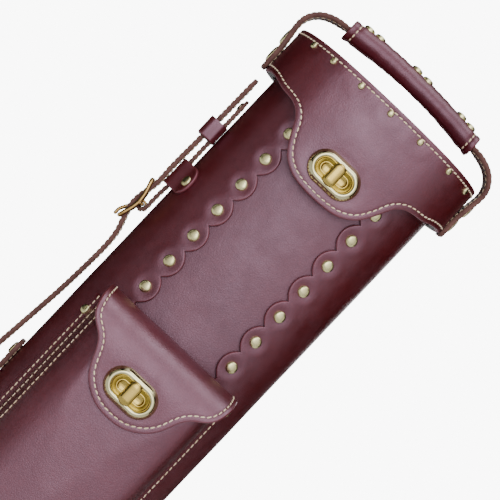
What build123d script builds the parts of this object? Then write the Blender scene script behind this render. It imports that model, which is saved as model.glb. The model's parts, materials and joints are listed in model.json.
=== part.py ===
from build123d import *
import math
import os

# Leather hard case for two cue butts and four cue shafts, in millimetres.
# Origin: centre of the foot plane. +Z runs up the case, -Y is the front (pouch and turn locks), +X its right.

# ---- Driving dimensions -------------------------------------------------------------------------
CASE_TOP = 856.0            # top of the closed lid
SIDE_CENTRE_X = 25.0        # centre of each side arc of the oval cross-section
SIDE_RADIUS = 44.0          # side arc of the body's outer leather
FRONT_RADIUS = 150.0        # front and back arcs of the body's outer leather
LEATHER = 2.0               # one layer of body leather
CORE_WALL = 2.5             # fibreboard half shells
FOOT_HEIGHT = 4.0
BODY_TOP = 828.0            # top edge of the body's shell, under the lid

LID_HEIGHT = 36.0
LID_CLEARANCE = 2.0         # lid's inside from the body's outside
LID_CORE = 4.5
LID_LEATHER = 3.0
NECK_BOTTOM = 796.0
NECK_TOP = 842.0
BASE_BAND = 3.05            # outer face of the band round the base, from the body's outside

RIVET_R = 4.15
RIVET_X = 38.0              # rivet rows, from the centre line
RIVET_PITCH = 22.25
UPPER_RIVETS = 7
UPPER_RIVET_Z = 798.0       # top rivet of the upper rows
LOWER_RIVETS = 15
LOWER_RIVET_Z = 375.25      # top rivet of the lower rows
SCALLOP_PEAK = 9.0          # how far a scallop reaches past its rivet, towards the centre line
SCALLOP_VALLEY = 2.8

POUCH_TOP = 640.0
POUCH_BOTTOM = 392.0
POUCH_HALF = 47.0           # half width of the pouch's front panel
POUCH_BASE_HALF = 52.0      # half width where its walls meet the body
POUCH_FLANGE_HALF = 57.0
POUCH_FRONT_Y = -86.0
POUCH_WALL = 2.0
POUCH_CORNER = 16.0
FLAP_ROOT_Z = 652.0         # where the pouch flap is stitched to the body
FLAP_THICK = 2.5
FLAP_HALF = 52.5
FLAP_BEND = 16.0            # outer radius of the flap's fold
POUCH_LOCK_Z = 613.5

LID_LOCK_Z = 797.5
LOCK_LENGTH = 38.0          # oval lock plate, across the case
LOCK_WIDTH = 23.5
LOCK_HEIGHT = 4.0
SLOT_LENGTH = 24.0
SLOT_WIDTH = 13.0
KNOB_LENGTH = 17.0
KNOB_WIDTH = 9.0
SPINDLE_R = 1.8
SPINDLE_HOLE_R = 2.2
LOCK_BASE_R = 9.0

BUTT_TUBE_R = 17.0          # inside radius
BUTT_TUBE_WALL = 1.5
BUTT_X = 20.5
BUTT_Y = 12.5
SHAFT_TUBE_R = 10.8
SHAFT_TUBE_WALL = 1.2
SHAFT_PITCH = 25.2
SHAFT_Y = -17.5
TUBE_BOTTOM = 22.0
TUBE_TOP = 816.0
SPACER_LEVELS = (150.0, 420.0, 690.0)

HINGE_HALF = 30.0           # half width of the back hinge leaves
HINGE_LEATHER = 2.5
HINGE_LOW_Z = 772.0
HINGE_KNEE_Z = 810.0

STRAP_THICK = 3.0
STRAP_WIDTH = 24.0
HANDLE_STRAP_WIDTH = 19.0
GRIP_HALF = 56.5
GRIP_R = 8.4

BUCKLE_BAR = (-76.0, 700.0)     # centre bar, (x, z)
BUCKLE_RAIL_X = -82.0
LOWER_RAIL_Z = 685.0
UPPER_RAIL_Z = 716.5
CHAPE_X = -71.9                 # centre of the short strap that holds the buckle

# ---- Worked-out dimensions ----------------------------------------------------------------------
FRONT_CENTRE_Y = math.sqrt((FRONT_RADIUS - SIDE_RADIUS) ** 2 - SIDE_CENTRE_X**2)
HALF_WIDTH = SIDE_CENTRE_X + SIDE_RADIUS
HALF_DEPTH = FRONT_RADIUS - FRONT_CENTRE_Y
LID_RIM = CASE_TOP - LID_HEIGHT
LID_INNER = LID_CLEARANCE
LID_MIDDLE = LID_INNER + LID_CORE
LID_OUTER = LID_MIDDLE + LID_LEATHER
PANEL_OUTER = -LEATHER
CORE_OUTER = -2 * LEATHER
CORE_INNER = CORE_OUTER - CORE_WALL
NECK_INNER = CORE_INNER - 3.5
LID_FRONT_Y = -(HALF_DEPTH + LID_OUTER)
FLAP_INNER_Y = POUCH_FRONT_Y - 0.6
STRAP_FACE = HALF_WIDTH + 0.2
HUGE = 400.0

os.makedirs("parts", exist_ok=True)


# ---- Helpers ------------------------------------------------------------------------------------
def oval_face(offset):
    """The body's oval cross-section, moved outwards by offset, as a face in the XY plane."""
    side = SIDE_RADIUS + offset
    front = FRONT_RADIUS + offset
    join_x = SIDE_CENTRE_X * front / (FRONT_RADIUS - SIDE_RADIUS)
    join_y = FRONT_CENTRE_Y * (1 - front / (FRONT_RADIUS - SIDE_RADIUS))
    right = ThreePointArc((join_x, join_y), (SIDE_CENTRE_X + side, 0), (join_x, -join_y))
    back = ThreePointArc((join_x, -join_y), (0, front - FRONT_CENTRE_Y), (-join_x, -join_y))
    left = ThreePointArc((-join_x, -join_y), (-SIDE_CENTRE_X - side, 0), (-join_x, join_y))
    near = ThreePointArc((-join_x, join_y), (0, FRONT_CENTRE_Y - front), (join_x, join_y))
    return make_face([right, back, left, near])


def oval_solid(offset, z_low, z_high):
    return Pos(0, 0, z_low) * extrude(oval_face(offset), z_high - z_low)


def oval_ring(inner, outer, z_low, z_high):
    return oval_solid(outer, z_low, z_high) - oval_solid(inner, z_low - 1, z_high + 1)


def block(x_low, x_high, y_low, y_high, z_low, z_high):
    size = (x_high - x_low, y_high - y_low, z_high - z_low)
    return Pos(x_low, y_low, z_low) * Box(*size, align=(Align.MIN, Align.MIN, Align.MIN))


def surface(x, offset=0.0, front=True):
    """Point and outward direction on the oval at a given x, as (y, nx, ny)."""
    side = SIDE_RADIUS + offset
    arc = FRONT_RADIUS + offset
    join_x = SIDE_CENTRE_X * arc / (FRONT_RADIUS - SIDE_RADIUS)
    if abs(x) <= join_x:
        y = FRONT_CENTRE_Y - math.sqrt(arc**2 - x**2)
        nx, ny = x / arc, (y - FRONT_CENTRE_Y) / arc
    else:
        sx = math.copysign(SIDE_CENTRE_X, x)
        y = -math.sqrt(max(side**2 - (x - sx) ** 2, 0.0))
        nx, ny = (x - sx) / side, y / side
    return (y, nx, ny) if front else (-y, nx, -ny)


def frame_at(x, z, offset=0.0, front=True):
    """A plane on the oval's surface whose Z axis points outwards and whose Y axis points up the case."""
    y, nx, ny = surface(x, offset, front)
    return Plane(origin=(x, y, z), x_dir=(-ny, nx, 0), z_dir=(nx, ny, 0))


def rivet(radius, height, stem_r, stem):
    """A domed cap on Z = 0 with its stem running down the -Z axis."""
    ball = (radius**2 + height**2) / (2 * height)
    upper = Box(4 * radius, 4 * radius, 4 * radius, align=(Align.CENTER, Align.CENTER, Align.MIN))
    cap = upper & (Pos(0, 0, height - ball) * Sphere(ball))
    shank = Cylinder(stem_r, stem + height / 4, align=(Align.CENTER, Align.CENTER, Align.MIN))
    return cap + Pos(0, 0, -stem) * shank


def set_of(solids):
    return Compound(children=list(solids))


def ribbon(points, thickness, width, y_centre=0.0):
    """A flat strap whose centre line is a spline through (x, z) points, with its width along Y."""
    line = Spline([(x, z) for x, z in points])
    steps = 4 * len(points)
    outer, inner = [], []
    for i in range(steps + 1):
        at = line.position_at(i / steps)
        along = line.tangent_at(i / steps)
        shift = Vector(-along.Y, along.X) * (thickness / 2)
        outer.append(at + shift)
        inner.append(at - shift)
    outline = make_face([
        Spline(outer),
        Line(outer[-1], inner[-1]),
        Spline(list(reversed(inner))),
        Line(inner[0], outer[0]),
    ])
    return Pos(0, y_centre + width / 2, 0) * extrude(Plane.XZ * outline, width)


def stadium(length, width, height):
    return extrude(SlotOverall(length, width), height)


def scallop_edge(sign, z_top, z_bottom):
    """The wrap's free edge from z_top to z_bottom, as lines and arcs in (x, z)."""
    valley = sign * (RIVET_X - SCALLOP_VALLEY)
    peak = sign * (RIVET_X - SCALLOP_PEAK)
    edges, z = [], z_top
    for first, count in ((UPPER_RIVET_Z, UPPER_RIVETS), (LOWER_RIVET_Z, LOWER_RIVETS)):
        start = first + RIVET_PITCH / 2
        edges.append(Line((valley, z), (valley, start)))
        for i in range(count):
            low = start - (i + 1) * RIVET_PITCH
            middle = (peak, low + RIVET_PITCH / 2)
            edges.append(ThreePointArc((valley, low + RIVET_PITCH), middle, (valley, low)))
            z = low
    edges.append(Line((valley, z), (valley, z_bottom)))
    return edges


def front_prism(outline, y_near, y_far):
    """A prism along Y from an outline in (x, z)."""
    return Pos(0, y_far, 0) * extrude(Plane.XZ * outline, y_far - y_near)


# ---- Body: shells, leather and rivets -----------------------------------------------------------
def core_halves():
    ring = oval_ring(CORE_INNER, CORE_OUTER, FOOT_HEIGHT + 2, BODY_TOP)
    front = ring & block(-HUGE, HUGE, -HUGE, -0.05, 0, CASE_TOP)
    back = ring & block(-HUGE, HUGE, 0.05, HUGE, 0, CASE_TOP)
    return front, back


def rivet_places():
    upper = [UPPER_RIVET_Z - i * RIVET_PITCH for i in range(UPPER_RIVETS)]
    lower = [LOWER_RIVET_Z - i * RIVET_PITCH for i in range(LOWER_RIVETS)]
    return upper + lower


def wrap_rivets(sign):
    cap = rivet(RIVET_R, 1.9, 1.3, 3.8)
    return [frame_at(sign * RIVET_X, z).location * cap for z in rivet_places()]


def front_panel():
    band = oval_ring(CORE_OUTER, PANEL_OUTER, FOOT_HEIGHT + 2, BODY_TOP)
    return band & block(-46, 46, -HUGE, 0, 0, CASE_TOP)


def back_wrap(panel):
    low, high = FOOT_HEIGHT + 2, BODY_TOP
    left = scallop_edge(-1, high + 1, low - 1)
    right = scallop_edge(1, high + 1, low - 1)
    valley = RIVET_X - SCALLOP_VALLEY
    top = Line((-valley, high + 1), (valley, high + 1))
    bottom = Line((-valley, low - 1), (valley, low - 1))
    window = front_prism(make_face(left + right + [top, bottom]), -HUGE, 0)
    return oval_ring(CORE_OUTER, 0, low, high) - panel - window


# ---- Inside -------------------------------------------------------------------------------------
def tube_places():
    butts = [(sign * BUTT_X, BUTT_Y) for sign in (-1, 1)]
    shafts = [((i - 1.5) * SHAFT_PITCH, SHAFT_Y) for i in range(4)]
    return butts, shafts


def tube(x, y, inner, wall):
    height = TUBE_TOP - TUBE_BOTTOM
    at = Pos(x, y, TUBE_BOTTOM + height / 2)
    return at * (Cylinder(inner + wall, height) - Cylinder(inner, height + 2))


def tube_plate(z_low, z_high, offset):
    plate = oval_solid(offset, z_low, z_high)
    butts, shafts = tube_places()
    gap = 0.1
    for places, radius in ((butts, BUTT_TUBE_R + BUTT_TUBE_WALL), (shafts, SHAFT_TUBE_R + SHAFT_TUBE_WALL)):
        for x, y in places:
            plate -= Pos(x, y, (z_low + z_high) / 2) * Cylinder(radius + gap, z_high - z_low + 2)
    return plate


# ---- Pouch --------------------------------------------------------------------------------------
def pouch_outline(half, z_bottom):
    """A U-shaped outline in (x, z) with round lower corners, up to the pouch's mouth."""
    z_top, corner = POUCH_TOP, POUCH_CORNER
    wall_low = z_bottom + corner
    bend = corner * (1 - math.sqrt(0.5))
    return make_face([
        Line((-half, z_top), (-half, wall_low)),
        ThreePointArc((-half, wall_low), (-half + bend, z_bottom + bend), (-half + corner, z_bottom)),
        Line((-half + corner, z_bottom), (half - corner, z_bottom)),
        ThreePointArc((half - corner, z_bottom), (half - bend, z_bottom + bend), (half, wall_low)),
        Line((half, wall_low), (half, z_top)),
        Line((half, z_top), (-half, z_top)),
    ])


def pouch_parts():
    flange = oval_ring(0, 1.5, POUCH_BOTTOM - 5, FLAP_ROOT_Z)
    back = flange & block(-POUCH_FLANGE_HALF, POUCH_FLANGE_HALF, -HUGE, 0, 0, CASE_TOP)
    wall_front = POUCH_FRONT_Y + POUCH_WALL
    base_y = -30.0
    rise = POUCH_BASE_HALF - POUCH_HALF

    def shell(inset):
        near = pouch_outline(POUCH_HALF - inset, POUCH_BOTTOM + rise + inset)
        far = pouch_outline(POUCH_BASE_HALF - inset, POUCH_BOTTOM + inset)
        return loft([Pos(0, wall_front, 0) * (Plane.XZ * near), Pos(0, base_y, 0) * (Plane.XZ * far)])

    gusset = shell(0) - shell(POUCH_WALL) - oval_solid(1.5, 0, CASE_TOP)
    front = front_prism(pouch_outline(POUCH_HALF, POUCH_BOTTOM + rise), POUCH_FRONT_Y, wall_front)
    return back, gusset, front


def pouch_rivet_set():
    cap = rivet(3.4, 1.5, 1.1, 1.4)
    low = POUCH_BOTTOM + 12
    places = ((-54.6, POUCH_TOP - 13), (-54.6, low), (54.6, POUCH_TOP + 1), (54.6, low))
    return [frame_at(x, z, 1.5).location * cap for x, z in places]


def mirrored(points):
    """An outline's right half, from the tip up, mirrored into the whole edge."""
    return [(-x, z) for x, z in reversed(points)] + points[1:]


def pouch_flap():
    """A leather sheet from its root on the body, over the pouch's mouth and down its front."""
    outer_y = FLAP_INNER_Y - FLAP_THICK
    root_y = -HALF_DEPTH - 0.2
    fold_y, fold_z = outer_y + FLAP_BEND, FLAP_ROOT_Z - FLAP_BEND
    under_z = FLAP_ROOT_Z - FLAP_THICK
    half_root = math.sqrt(0.5)
    inner_bend = FLAP_BEND - FLAP_THICK
    outer_mid = (fold_y - FLAP_BEND * half_root, fold_z + FLAP_BEND * half_root)
    inner_mid = (fold_y - inner_bend * half_root, fold_z + inner_bend * half_root)
    end_z = 590
    profile = make_face([
        Line((root_y, FLAP_ROOT_Z), (fold_y, FLAP_ROOT_Z)),
        ThreePointArc((fold_y, FLAP_ROOT_Z), outer_mid, (outer_y, fold_z)),
        Line((outer_y, fold_z), (outer_y, end_z)),
        Line((outer_y, end_z), (FLAP_INNER_Y, end_z)),
        Line((FLAP_INNER_Y, end_z), (FLAP_INNER_Y, fold_z)),
        ThreePointArc((FLAP_INNER_Y, fold_z), inner_mid, (fold_y, under_z)),
        Line((fold_y, under_z), (root_y, under_z)),
        Line((root_y, under_z), (root_y, FLAP_ROOT_Z)),
    ])
    sheet = Pos(-FLAP_HALF, 0, 0) * extrude(Plane.YZ * profile, 2 * FLAP_HALF)
    top = 645
    edge = [(0, 595), (17, 597.5), (29, 606.5), (35, 618), (40.5, 625.5), (46.5, 628), (51, 634.5)]
    line = mirrored(edge + [(FLAP_HALF, top)])
    low, side = 585, FLAP_HALF + 5
    below = make_face([
        Spline(line),
        Line(line[-1], (side, top)),
        Line((side, top), (side, low)),
        Line((side, low), (-side, low)),
        Line((-side, low), (-side, top)),
        Line((-side, top), line[0]),
    ])
    sheet -= front_prism(below, -HUGE, POUCH_FRONT_Y + 0.1)
    return sheet - oval_solid(1.6, 0, CASE_TOP)


# ---- Turn locks ---------------------------------------------------------------------------------
def lock_parts(y_face, z, y_body):
    """Oval plate, cup, knob and the base on the body, for a lock on a leather face at y_face."""
    at = Plane(origin=(0, y_face, z), x_dir=(1, 0, 0), z_dir=(0, -1, 0)).location
    plate = stadium(LOCK_LENGTH, LOCK_WIDTH, LOCK_HEIGHT)
    plate = chamfer(plate.faces().sort_by(Axis.Z)[-1].edges(), 1.5)
    plate -= Pos(0, 0, -1) * stadium(SLOT_LENGTH, SLOT_WIDTH, LOCK_HEIGHT + 2)
    plate -= Pos(0, 0, -0.1) * stadium(SLOT_LENGTH + 3, SLOT_WIDTH + 3, 1.3)
    cup = stadium(SLOT_LENGTH + 2.6, SLOT_WIDTH + 2.6, 1.0)
    cup -= Cylinder(SPINDLE_R + 0.05, 10)
    knob = Pos(0, 0, LOCK_HEIGHT + 0.4) * (Rot(0, 0, 90) * stadium(KNOB_LENGTH, KNOB_WIDTH, 3.4))
    knob = chamfer(knob.faces().sort_by(Axis.Z)[-1].edges(), 1.2)
    knob += Pos(0, 0, 1.1) * Cylinder(2.6, LOCK_HEIGHT - 0.5, align=(Align.CENTER, Align.CENTER, Align.MIN))
    knob += Pos(0, 0, -0.4) * Cylinder(SPINDLE_R, 3, align=(Align.CENTER, Align.CENTER, Align.MIN))
    base_at = Plane(origin=(0, y_body, z), x_dir=(1, 0, 0), z_dir=(0, -1, 0)).location
    base = Cylinder(LOCK_BASE_R, 1.2, align=(Align.CENTER, Align.CENTER, Align.MIN)) - Cylinder(3.2, 6)
    return at * plate, at * cup, at * knob, base_at * base


def lid_lock_base():
    """The post that the lid's lock grips, standing on the front panel."""
    panel_y = -HALF_DEPTH + LEATHER
    at = Plane(origin=(0, panel_y - 0.1, LID_LOCK_Z), x_dir=(1, 0, 0), z_dir=(0, -1, 0)).location
    post = Cylinder(4.6, 5.6, align=(Align.CENTER, Align.CENTER, Align.MIN))
    foot = Cylinder(8, 1.5, align=(Align.CENTER, Align.CENTER, Align.MIN))
    return at * (post + foot)


# ---- Lid ----------------------------------------------------------------------------------------
def tongue_outline():
    """The tongue below the lid's rim, in (x, z)."""
    edge = [(0, 780), (11, 780.5), (23, 783), (33, 789.5), (40, 801), (47, 812.5), (54, 818)]
    line = mirrored(edge + [(60, LID_RIM - 0.4)])
    return make_face([Spline(line), Line(line[-1], line[0])])


def lid_tongue():
    sheet = oval_ring(LID_MIDDLE, LID_OUTER, 770, LID_RIM - 0.3)
    return sheet & front_prism(tongue_outline(), -HUGE, 0)


def tack_frames(offset, z, count=7, reach=66):
    """Frames spread evenly by angle round the front of the oval, out to reach degrees on each side."""
    frames = []
    for i in range(count):
        angle = math.radians(reach * (2 * i / (count - 1) - 1))
        frames.append(frame_at((HALF_WIDTH + offset) * math.sin(angle), z, offset))
    return frames


def hinge_wedge(extra, half):
    """The sloping block that brings the back leather out from the body to the lid's outer face."""
    low = Pos(0, 0, HINGE_LOW_Z) * oval_face(0.4 + extra)
    knee = Pos(0, 0, HINGE_KNEE_Z) * oval_face(LID_OUTER + extra)
    solid = loft([low, knee]) + oval_solid(LID_OUTER + extra, HINGE_KNEE_Z, LID_RIM - 1.5)
    return (solid & block(-half, half, 10, HUGE, 0, CASE_TOP)) - oval_solid(0.05, 0, CASE_TOP)


def hinge_rivet_set(z, offset, tilt, stem):
    """Four rivets across the back; tilt leans them down where the leather slopes."""
    cap = rivet(RIVET_R, 1.7, 1.3, stem)
    lean, out = math.radians(tilt), []
    for x in (-21, -7, 7, 21):
        y, nx, ny = surface(x, offset, front=False)
        outward = (nx * math.cos(lean), ny * math.cos(lean), -math.sin(lean))
        out.append(Plane(origin=(x, y, z), x_dir=(-ny, nx, 0), z_dir=outward).location * cap)
    return out


# ---- Handles and straps -------------------------------------------------------------------------
def handle_line():
    """Centre line of the top handle's strap, from the left side of the lid over to the right."""
    side = HALF_WIDTH + LID_OUTER + 1.85
    right = [(side, LID_RIM - 1), (side, 836), (82.0, 849), (82.4, 861), (77.5, 869.5), (69, 874.5)]
    right += [(GRIP_HALF, 877), (28, 880.2)]
    return [(-x, z) for x, z in right] + [(0, 881.2)] + list(reversed(right))


def top_handle():
    line = handle_line()
    strap = ribbon(line, 3.4, HANDLE_STRAP_WIDTH)
    taper = block(-GRIP_HALF - 3, GRIP_HALF + 3, 5.5, HUGE, 865, 900)
    strap = strap - taper - mirror(taper, Plane.XZ) - oval_solid(LID_OUTER + 0.05, LID_RIM - 5, CASE_TOP + 1)
    arc = Spline([(-GRIP_HALF, 0, 877), (-28, 0, 880.2), (0, 0, 881.2), (28, 0, 880.2), (GRIP_HALF, 0, 877)])
    start = Plane(origin=arc @ 0, z_dir=arc % 0)
    grip = sweep(start * Circle(GRIP_R), path=arc) - strap
    return strap, grip


def grip_rivet_set():
    rise = GRIP_R - 0.35
    places = ((-46, 878.3), (-37, 879.3), (-5, 881.2), (5, 881.2), (37, 879.3), (46, 878.3))
    cap = rivet(RIVET_R, 1.6, 1.2, 1.2)
    return [Pos(x, 0, z + rise) * cap for x, z in places]


def handle_rivet_set():
    cap = rivet(6.6, 1.7, 1.5, 7)
    out = []
    for sign in (-1, 1):
        for z in (831.0, 845.5):
            x = sign * (HALF_WIDTH + LID_OUTER + 3.6)
            out.append(Plane(origin=(x, 0, z), x_dir=(0, sign, 0), z_dir=(sign, 0, 0)).location * cap)
    return out


def anchor_band(z_low, z_high, strap_x):
    """A leather band riveted across a strap on the case's left side. strap_x is the strap's outer face."""
    ring = oval_ring(0.05, 2.4, z_low, z_high) & block(-HUGE, 0, -27, 27, 0, CASE_TOP)
    bridge = block(strap_x - 2.3, -66, -15, 15, z_low, z_high)
    channel = block(strap_x - 0.05, 0, -12.3, 12.3, z_low - 1, z_high + 1)
    return (ring + bridge) - channel - oval_solid(0.05, 0, CASE_TOP)


def anchor_rivet_set(z):
    cap = rivet(RIVET_R, 1.6, 1.2, 2.2)
    return [frame_at(-64.6, z, 2.4, front).location * cap for front in (True, False)]


def buckle_frame():
    """Two rails and a centre bar, joined by side arms."""
    half = STRAP_WIDTH / 2 + 1.6
    rail = 1.6
    bar_x, bar_z = BUCKLE_BAR
    parts = []
    for z in (LOWER_RAIL_Z, UPPER_RAIL_Z):
        parts.append(Pos(BUCKLE_RAIL_X, 0, z) * Rot(90, 0, 0) * Cylinder(rail, 2 * half))
    parts.append(Pos(bar_x, 0, bar_z) * Rot(90, 0, 0) * Cylinder(1.5, 2 * half))
    side = [(BUCKLE_RAIL_X, LOWER_RAIL_Z), (bar_x - 2, bar_z), (BUCKLE_RAIL_X, UPPER_RAIL_Z)]
    arm = ribbon(side, 3.2, 2.6)
    ear = Pos(bar_x - 1, 0, bar_z) * Rot(90, 0, 0) * Cylinder(2.4, 2.6)
    for sign in (-1, 1):
        parts.append(Pos(0, sign * (half + 1.0), 0) * (arm + ear))
    frame = parts[0]
    for piece in parts[1:]:
        frame += piece
    return frame


def buckle_prong():
    bar_x, bar_z = BUCKLE_BAR
    eye = Pos(bar_x, 0, bar_z) * Rot(90, 0, 0) * (Cylinder(3.2, 3.4) - Cylinder(1.55, 10))
    tip = (BUCKLE_RAIL_X - 3.3, LOWER_RAIL_Z - 2.5)
    arm = ribbon([(bar_x - 1.9, bar_z - 2.3), (bar_x - 6, bar_z - 6.5), (bar_x - 9.3, bar_z - 12), tip], 2.4, 2.8)
    return eye + arm


def buckle_chape():
    """The short strap that holds the buckle: flat on the case, then folded round the buckle's bar."""
    bar_x, bar_z = BUCKLE_BAR
    line = [(CHAPE_X, 797), (CHAPE_X, 770), (CHAPE_X, 745), (CHAPE_X, 722), (-72.6, 712)]
    line.append((bar_x + 1.3, bar_z + 2.6))
    body = ribbon(line, 2.4, 22)
    loop = Pos(bar_x, 0, bar_z) * Rot(90, 0, 0) * Cylinder(3.3, 22)
    hole = Pos(bar_x, 0, bar_z) * Rot(90, 0, 0) * Cylinder(1.55, 60)
    slot = block(bar_x - 12, bar_x + 4.5, -2.1, 2.1, bar_z - 8, bar_z + 6)
    return body + loop - hole - slot


def strap_line():
    """Centre line of the shoulder strap, from its tail near the lid to the lower anchor."""
    bar_x, bar_z = BUCKLE_BAR
    flat_x = -(STRAP_FACE + 1.5)
    return {
        "upper": [
            (-77.2, 811), (-77.4, 790), (-77.8, 767), (-78.4, 745), (-78.6, 728),
            (BUCKLE_RAIL_X + 3.5, UPPER_RAIL_Z), (bar_x - 5.3, bar_z), (BUCKLE_RAIL_X + 3.5, LOWER_RAIL_Z),
            (-76.0, 677), (-75.0, 670.5),
        ],
        "middle": [
            (-74.9, 669.5), (-75.0, 650), (-76.4, 624), (-79.0, 596), (-81.6, 570), (-88.5, 510), (-94.5, 440),
            (-96.0, 380), (-92.0, 300), (-82.0, 225), (-75.6, 190.5),
        ],
        "lower": [(-75.5, 189.5), (-72.6, 172), (flat_x, 160), (flat_x, 140), (flat_x, 118)],
    }


def strap_keeper():
    """A loose leather loop round the chape and the strap's tail."""
    outer = block(-82.6, -69.2, -15.0, 15.0, 760, 774)
    inner = block(-81.0, -70.5, -13.2, 13.2, 758, 776)
    return fillet(outer.edges().filter_by(Axis.Z), 1.2) - inner


def side_handle():
    """The carrying handle on the case's left side, and its end rivets."""
    flat = -(STRAP_FACE + 1.7)
    half = [(flat, 582), (flat, 571), (flat, 560), (-75.2, 540), (-80.6, 510), (-82.4, 475)]
    line = half + [(x, 950 - z) for x, z in reversed(half[:-1])]
    strap = ribbon(line, 3.2, 22)
    rivets = []
    cap = rivet(RIVET_R, 1.7, 1.3, 3.0)
    for z in (573.5, 376.5):
        for y in (-5.2, 5.2):
            at = Plane(origin=(flat - 1.6, y, z), x_dir=(0, -1, 0), z_dir=(-1, 0, 0))
            rivets.append(at.location * cap)
    return strap, rivets


# ---- Nodes: each function adds one group of named pieces ----------------------------------------
def add_body(nodes):
    panel = front_panel()
    stems = {"wrap_rivets_left": wrap_rivets(-1), "wrap_rivets_right": wrap_rivets(1)}
    all_stems = stems["wrap_rivets_left"] + stems["wrap_rivets_right"]
    nodes["core_front_half"], nodes["core_back_half"] = core_halves()
    nodes["front_panel"] = panel - all_stems
    nodes["back_wrap"] = back_wrap(panel) - all_stems
    for name, rivets in stems.items():
        nodes[name] = set_of(rivets)


def add_inside(nodes):
    butts, shafts = tube_places()
    nodes["neck_collar"] = oval_ring(NECK_INNER, CORE_INNER, NECK_BOTTOM, NECK_TOP)
    nodes["butt_tubes"] = set_of([tube(x, y, BUTT_TUBE_R, BUTT_TUBE_WALL) for x, y in butts])
    nodes["shaft_tubes"] = set_of([tube(x, y, SHAFT_TUBE_R, SHAFT_TUBE_WALL) for x, y in shafts])
    nodes["tube_top_plate"] = tube_plate(TUBE_TOP - 8, TUBE_TOP, NECK_INNER - 0.1)
    nodes["tube_spacers"] = set_of([tube_plate(z, z + 18, CORE_INNER - 0.1) for z in SPACER_LEVELS])


def add_base(nodes):
    floor = FOOT_HEIGHT + LEATHER
    disc_top = floor + 12
    nodes["base_leather"] = oval_solid(0.0, FOOT_HEIGHT, floor)
    nodes["base_disc"] = oval_solid(CORE_INNER - 0.05, floor, disc_top)
    nodes["base_pad"] = oval_solid(CORE_INNER - 0.5, disc_top, TUBE_BOTTOM)
    tacks = [at.location * rivet(2.6, 1.5, 0.8, 5.0) for at in tack_frames(BASE_BAND, 34)]
    nodes["base_tacks"] = set_of(tacks)
    nodes["base_band"] = oval_ring(0.05, BASE_BAND, FOOT_HEIGHT, 40) - tacks
    nodes["back_wrap"] -= tacks
    nodes["front_panel"] -= tacks
    foot = Cylinder(7, FOOT_HEIGHT, align=(Align.CENTER, Align.CENTER, Align.MIN))
    foot = chamfer(foot.faces().sort_by(Axis.Z)[0].edges(), 1.0)
    foot_places = [(0, 0), (-44, -22), (-44, 22), (44, -22), (44, 22)]
    nodes["feet"] = set_of([Pos(x, y, 0) * foot for x, y in foot_places])


def add_pouch(nodes):
    back, gusset, front = pouch_parts()
    rivets = pouch_rivet_set()
    flap_face = FLAP_INNER_Y - FLAP_THICK
    base_depth = 1.2
    plate, cup, knob, base = lock_parts(flap_face, POUCH_LOCK_Z, POUCH_FRONT_Y)
    centre = Pos(0, POUCH_LOCK_Z)
    recess = front_prism(centre * Circle(LOCK_BASE_R + 0.02), POUCH_FRONT_Y - 1, POUCH_FRONT_Y + base_depth)
    spindle_hole = front_prism(centre * Circle(SPINDLE_HOLE_R), flap_face - 1, POUCH_FRONT_Y)
    nodes["pouch_rivets"] = set_of(rivets)
    nodes["pouch_back"] = back - rivets
    nodes["pouch_gusset"] = gusset
    nodes["pouch_front"] = front - recess
    nodes["pouch_flap"] = pouch_flap() - spindle_hole
    nodes["pouch_lock_plate"] = plate
    nodes["pouch_lock_cup"] = cup
    nodes["pouch_lock_knob"] = knob
    nodes["pouch_lock_base"] = Pos(0, base_depth, 0) * base


def add_lid(nodes):
    roof_low, roof_high = CASE_TOP - 8, CASE_TOP - 3
    tacks = [at.location * rivet(2.3, 1.5, 0.8, 6.0) for at in tack_frames(LID_OUTER, CASE_TOP - 5.6)]
    wall = oval_ring(LID_INNER, LID_MIDDLE, LID_RIM, roof_high)
    nodes["lid_core"] = wall + oval_solid(LID_MIDDLE, roof_low, roof_high) - tacks
    nodes["lid_band"] = oval_ring(LID_MIDDLE, LID_OUTER, LID_RIM, CASE_TOP) - tacks
    nodes["lid_top"] = oval_solid(LID_MIDDLE - 0.05, roof_high, CASE_TOP - 0.5)
    nodes["lid_liner"] = oval_solid(LID_INNER - 0.3, roof_low - 4, roof_low)
    nodes["lid_tacks"] = set_of(tacks)


def add_lid_tongue(nodes):
    spindle_hole = front_prism(Pos(0, LID_LOCK_Z) * Circle(SPINDLE_HOLE_R), LID_FRONT_Y - 1, LID_FRONT_Y + 6)
    plate, cup, knob, _ = lock_parts(LID_FRONT_Y, LID_LOCK_Z, LID_FRONT_Y)
    nodes["lid_tongue"] = lid_tongue() - spindle_hole
    nodes["lid_lock_plate"] = plate
    nodes["lid_lock_cup"] = cup
    nodes["lid_lock_knob"] = knob
    nodes["lid_lock_base"] = lid_lock_base()


def add_hinge(nodes):
    rise = LID_OUTER - 0.4
    run = HINGE_KNEE_Z - HINGE_LOW_Z
    row_z = 794
    row_offset = 2.9 + rise * (row_z - HINGE_LOW_Z) / run
    lower = hinge_rivet_set(row_z, row_offset, math.degrees(math.atan2(rise, run)), 6)
    upper = hinge_rivet_set(838, LID_OUTER + HINGE_LEATHER, 0, 6)
    ring = oval_ring(LID_OUTER + 0.02, LID_OUTER + HINGE_LEATHER, LID_RIM + 0.4, CASE_TOP - 6)
    nodes["hinge_upper_leaf"] = (ring & block(-HINGE_HALF, HINGE_HALF, 0, HUGE, 0, CASE_TOP)) - upper
    nodes["hinge_lower_leaf"] = hinge_wedge(HINGE_LEATHER, HINGE_HALF) - hinge_wedge(0, 40) - lower
    nodes["hinge_pad"] = hinge_wedge(-0.05, HINGE_HALF - 2) - lower
    nodes["hinge_upper_rivets"] = set_of(upper)
    nodes["hinge_lower_rivets"] = set_of(lower)
    nodes["lid_band"] -= upper
    nodes["lid_core"] -= upper


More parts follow.
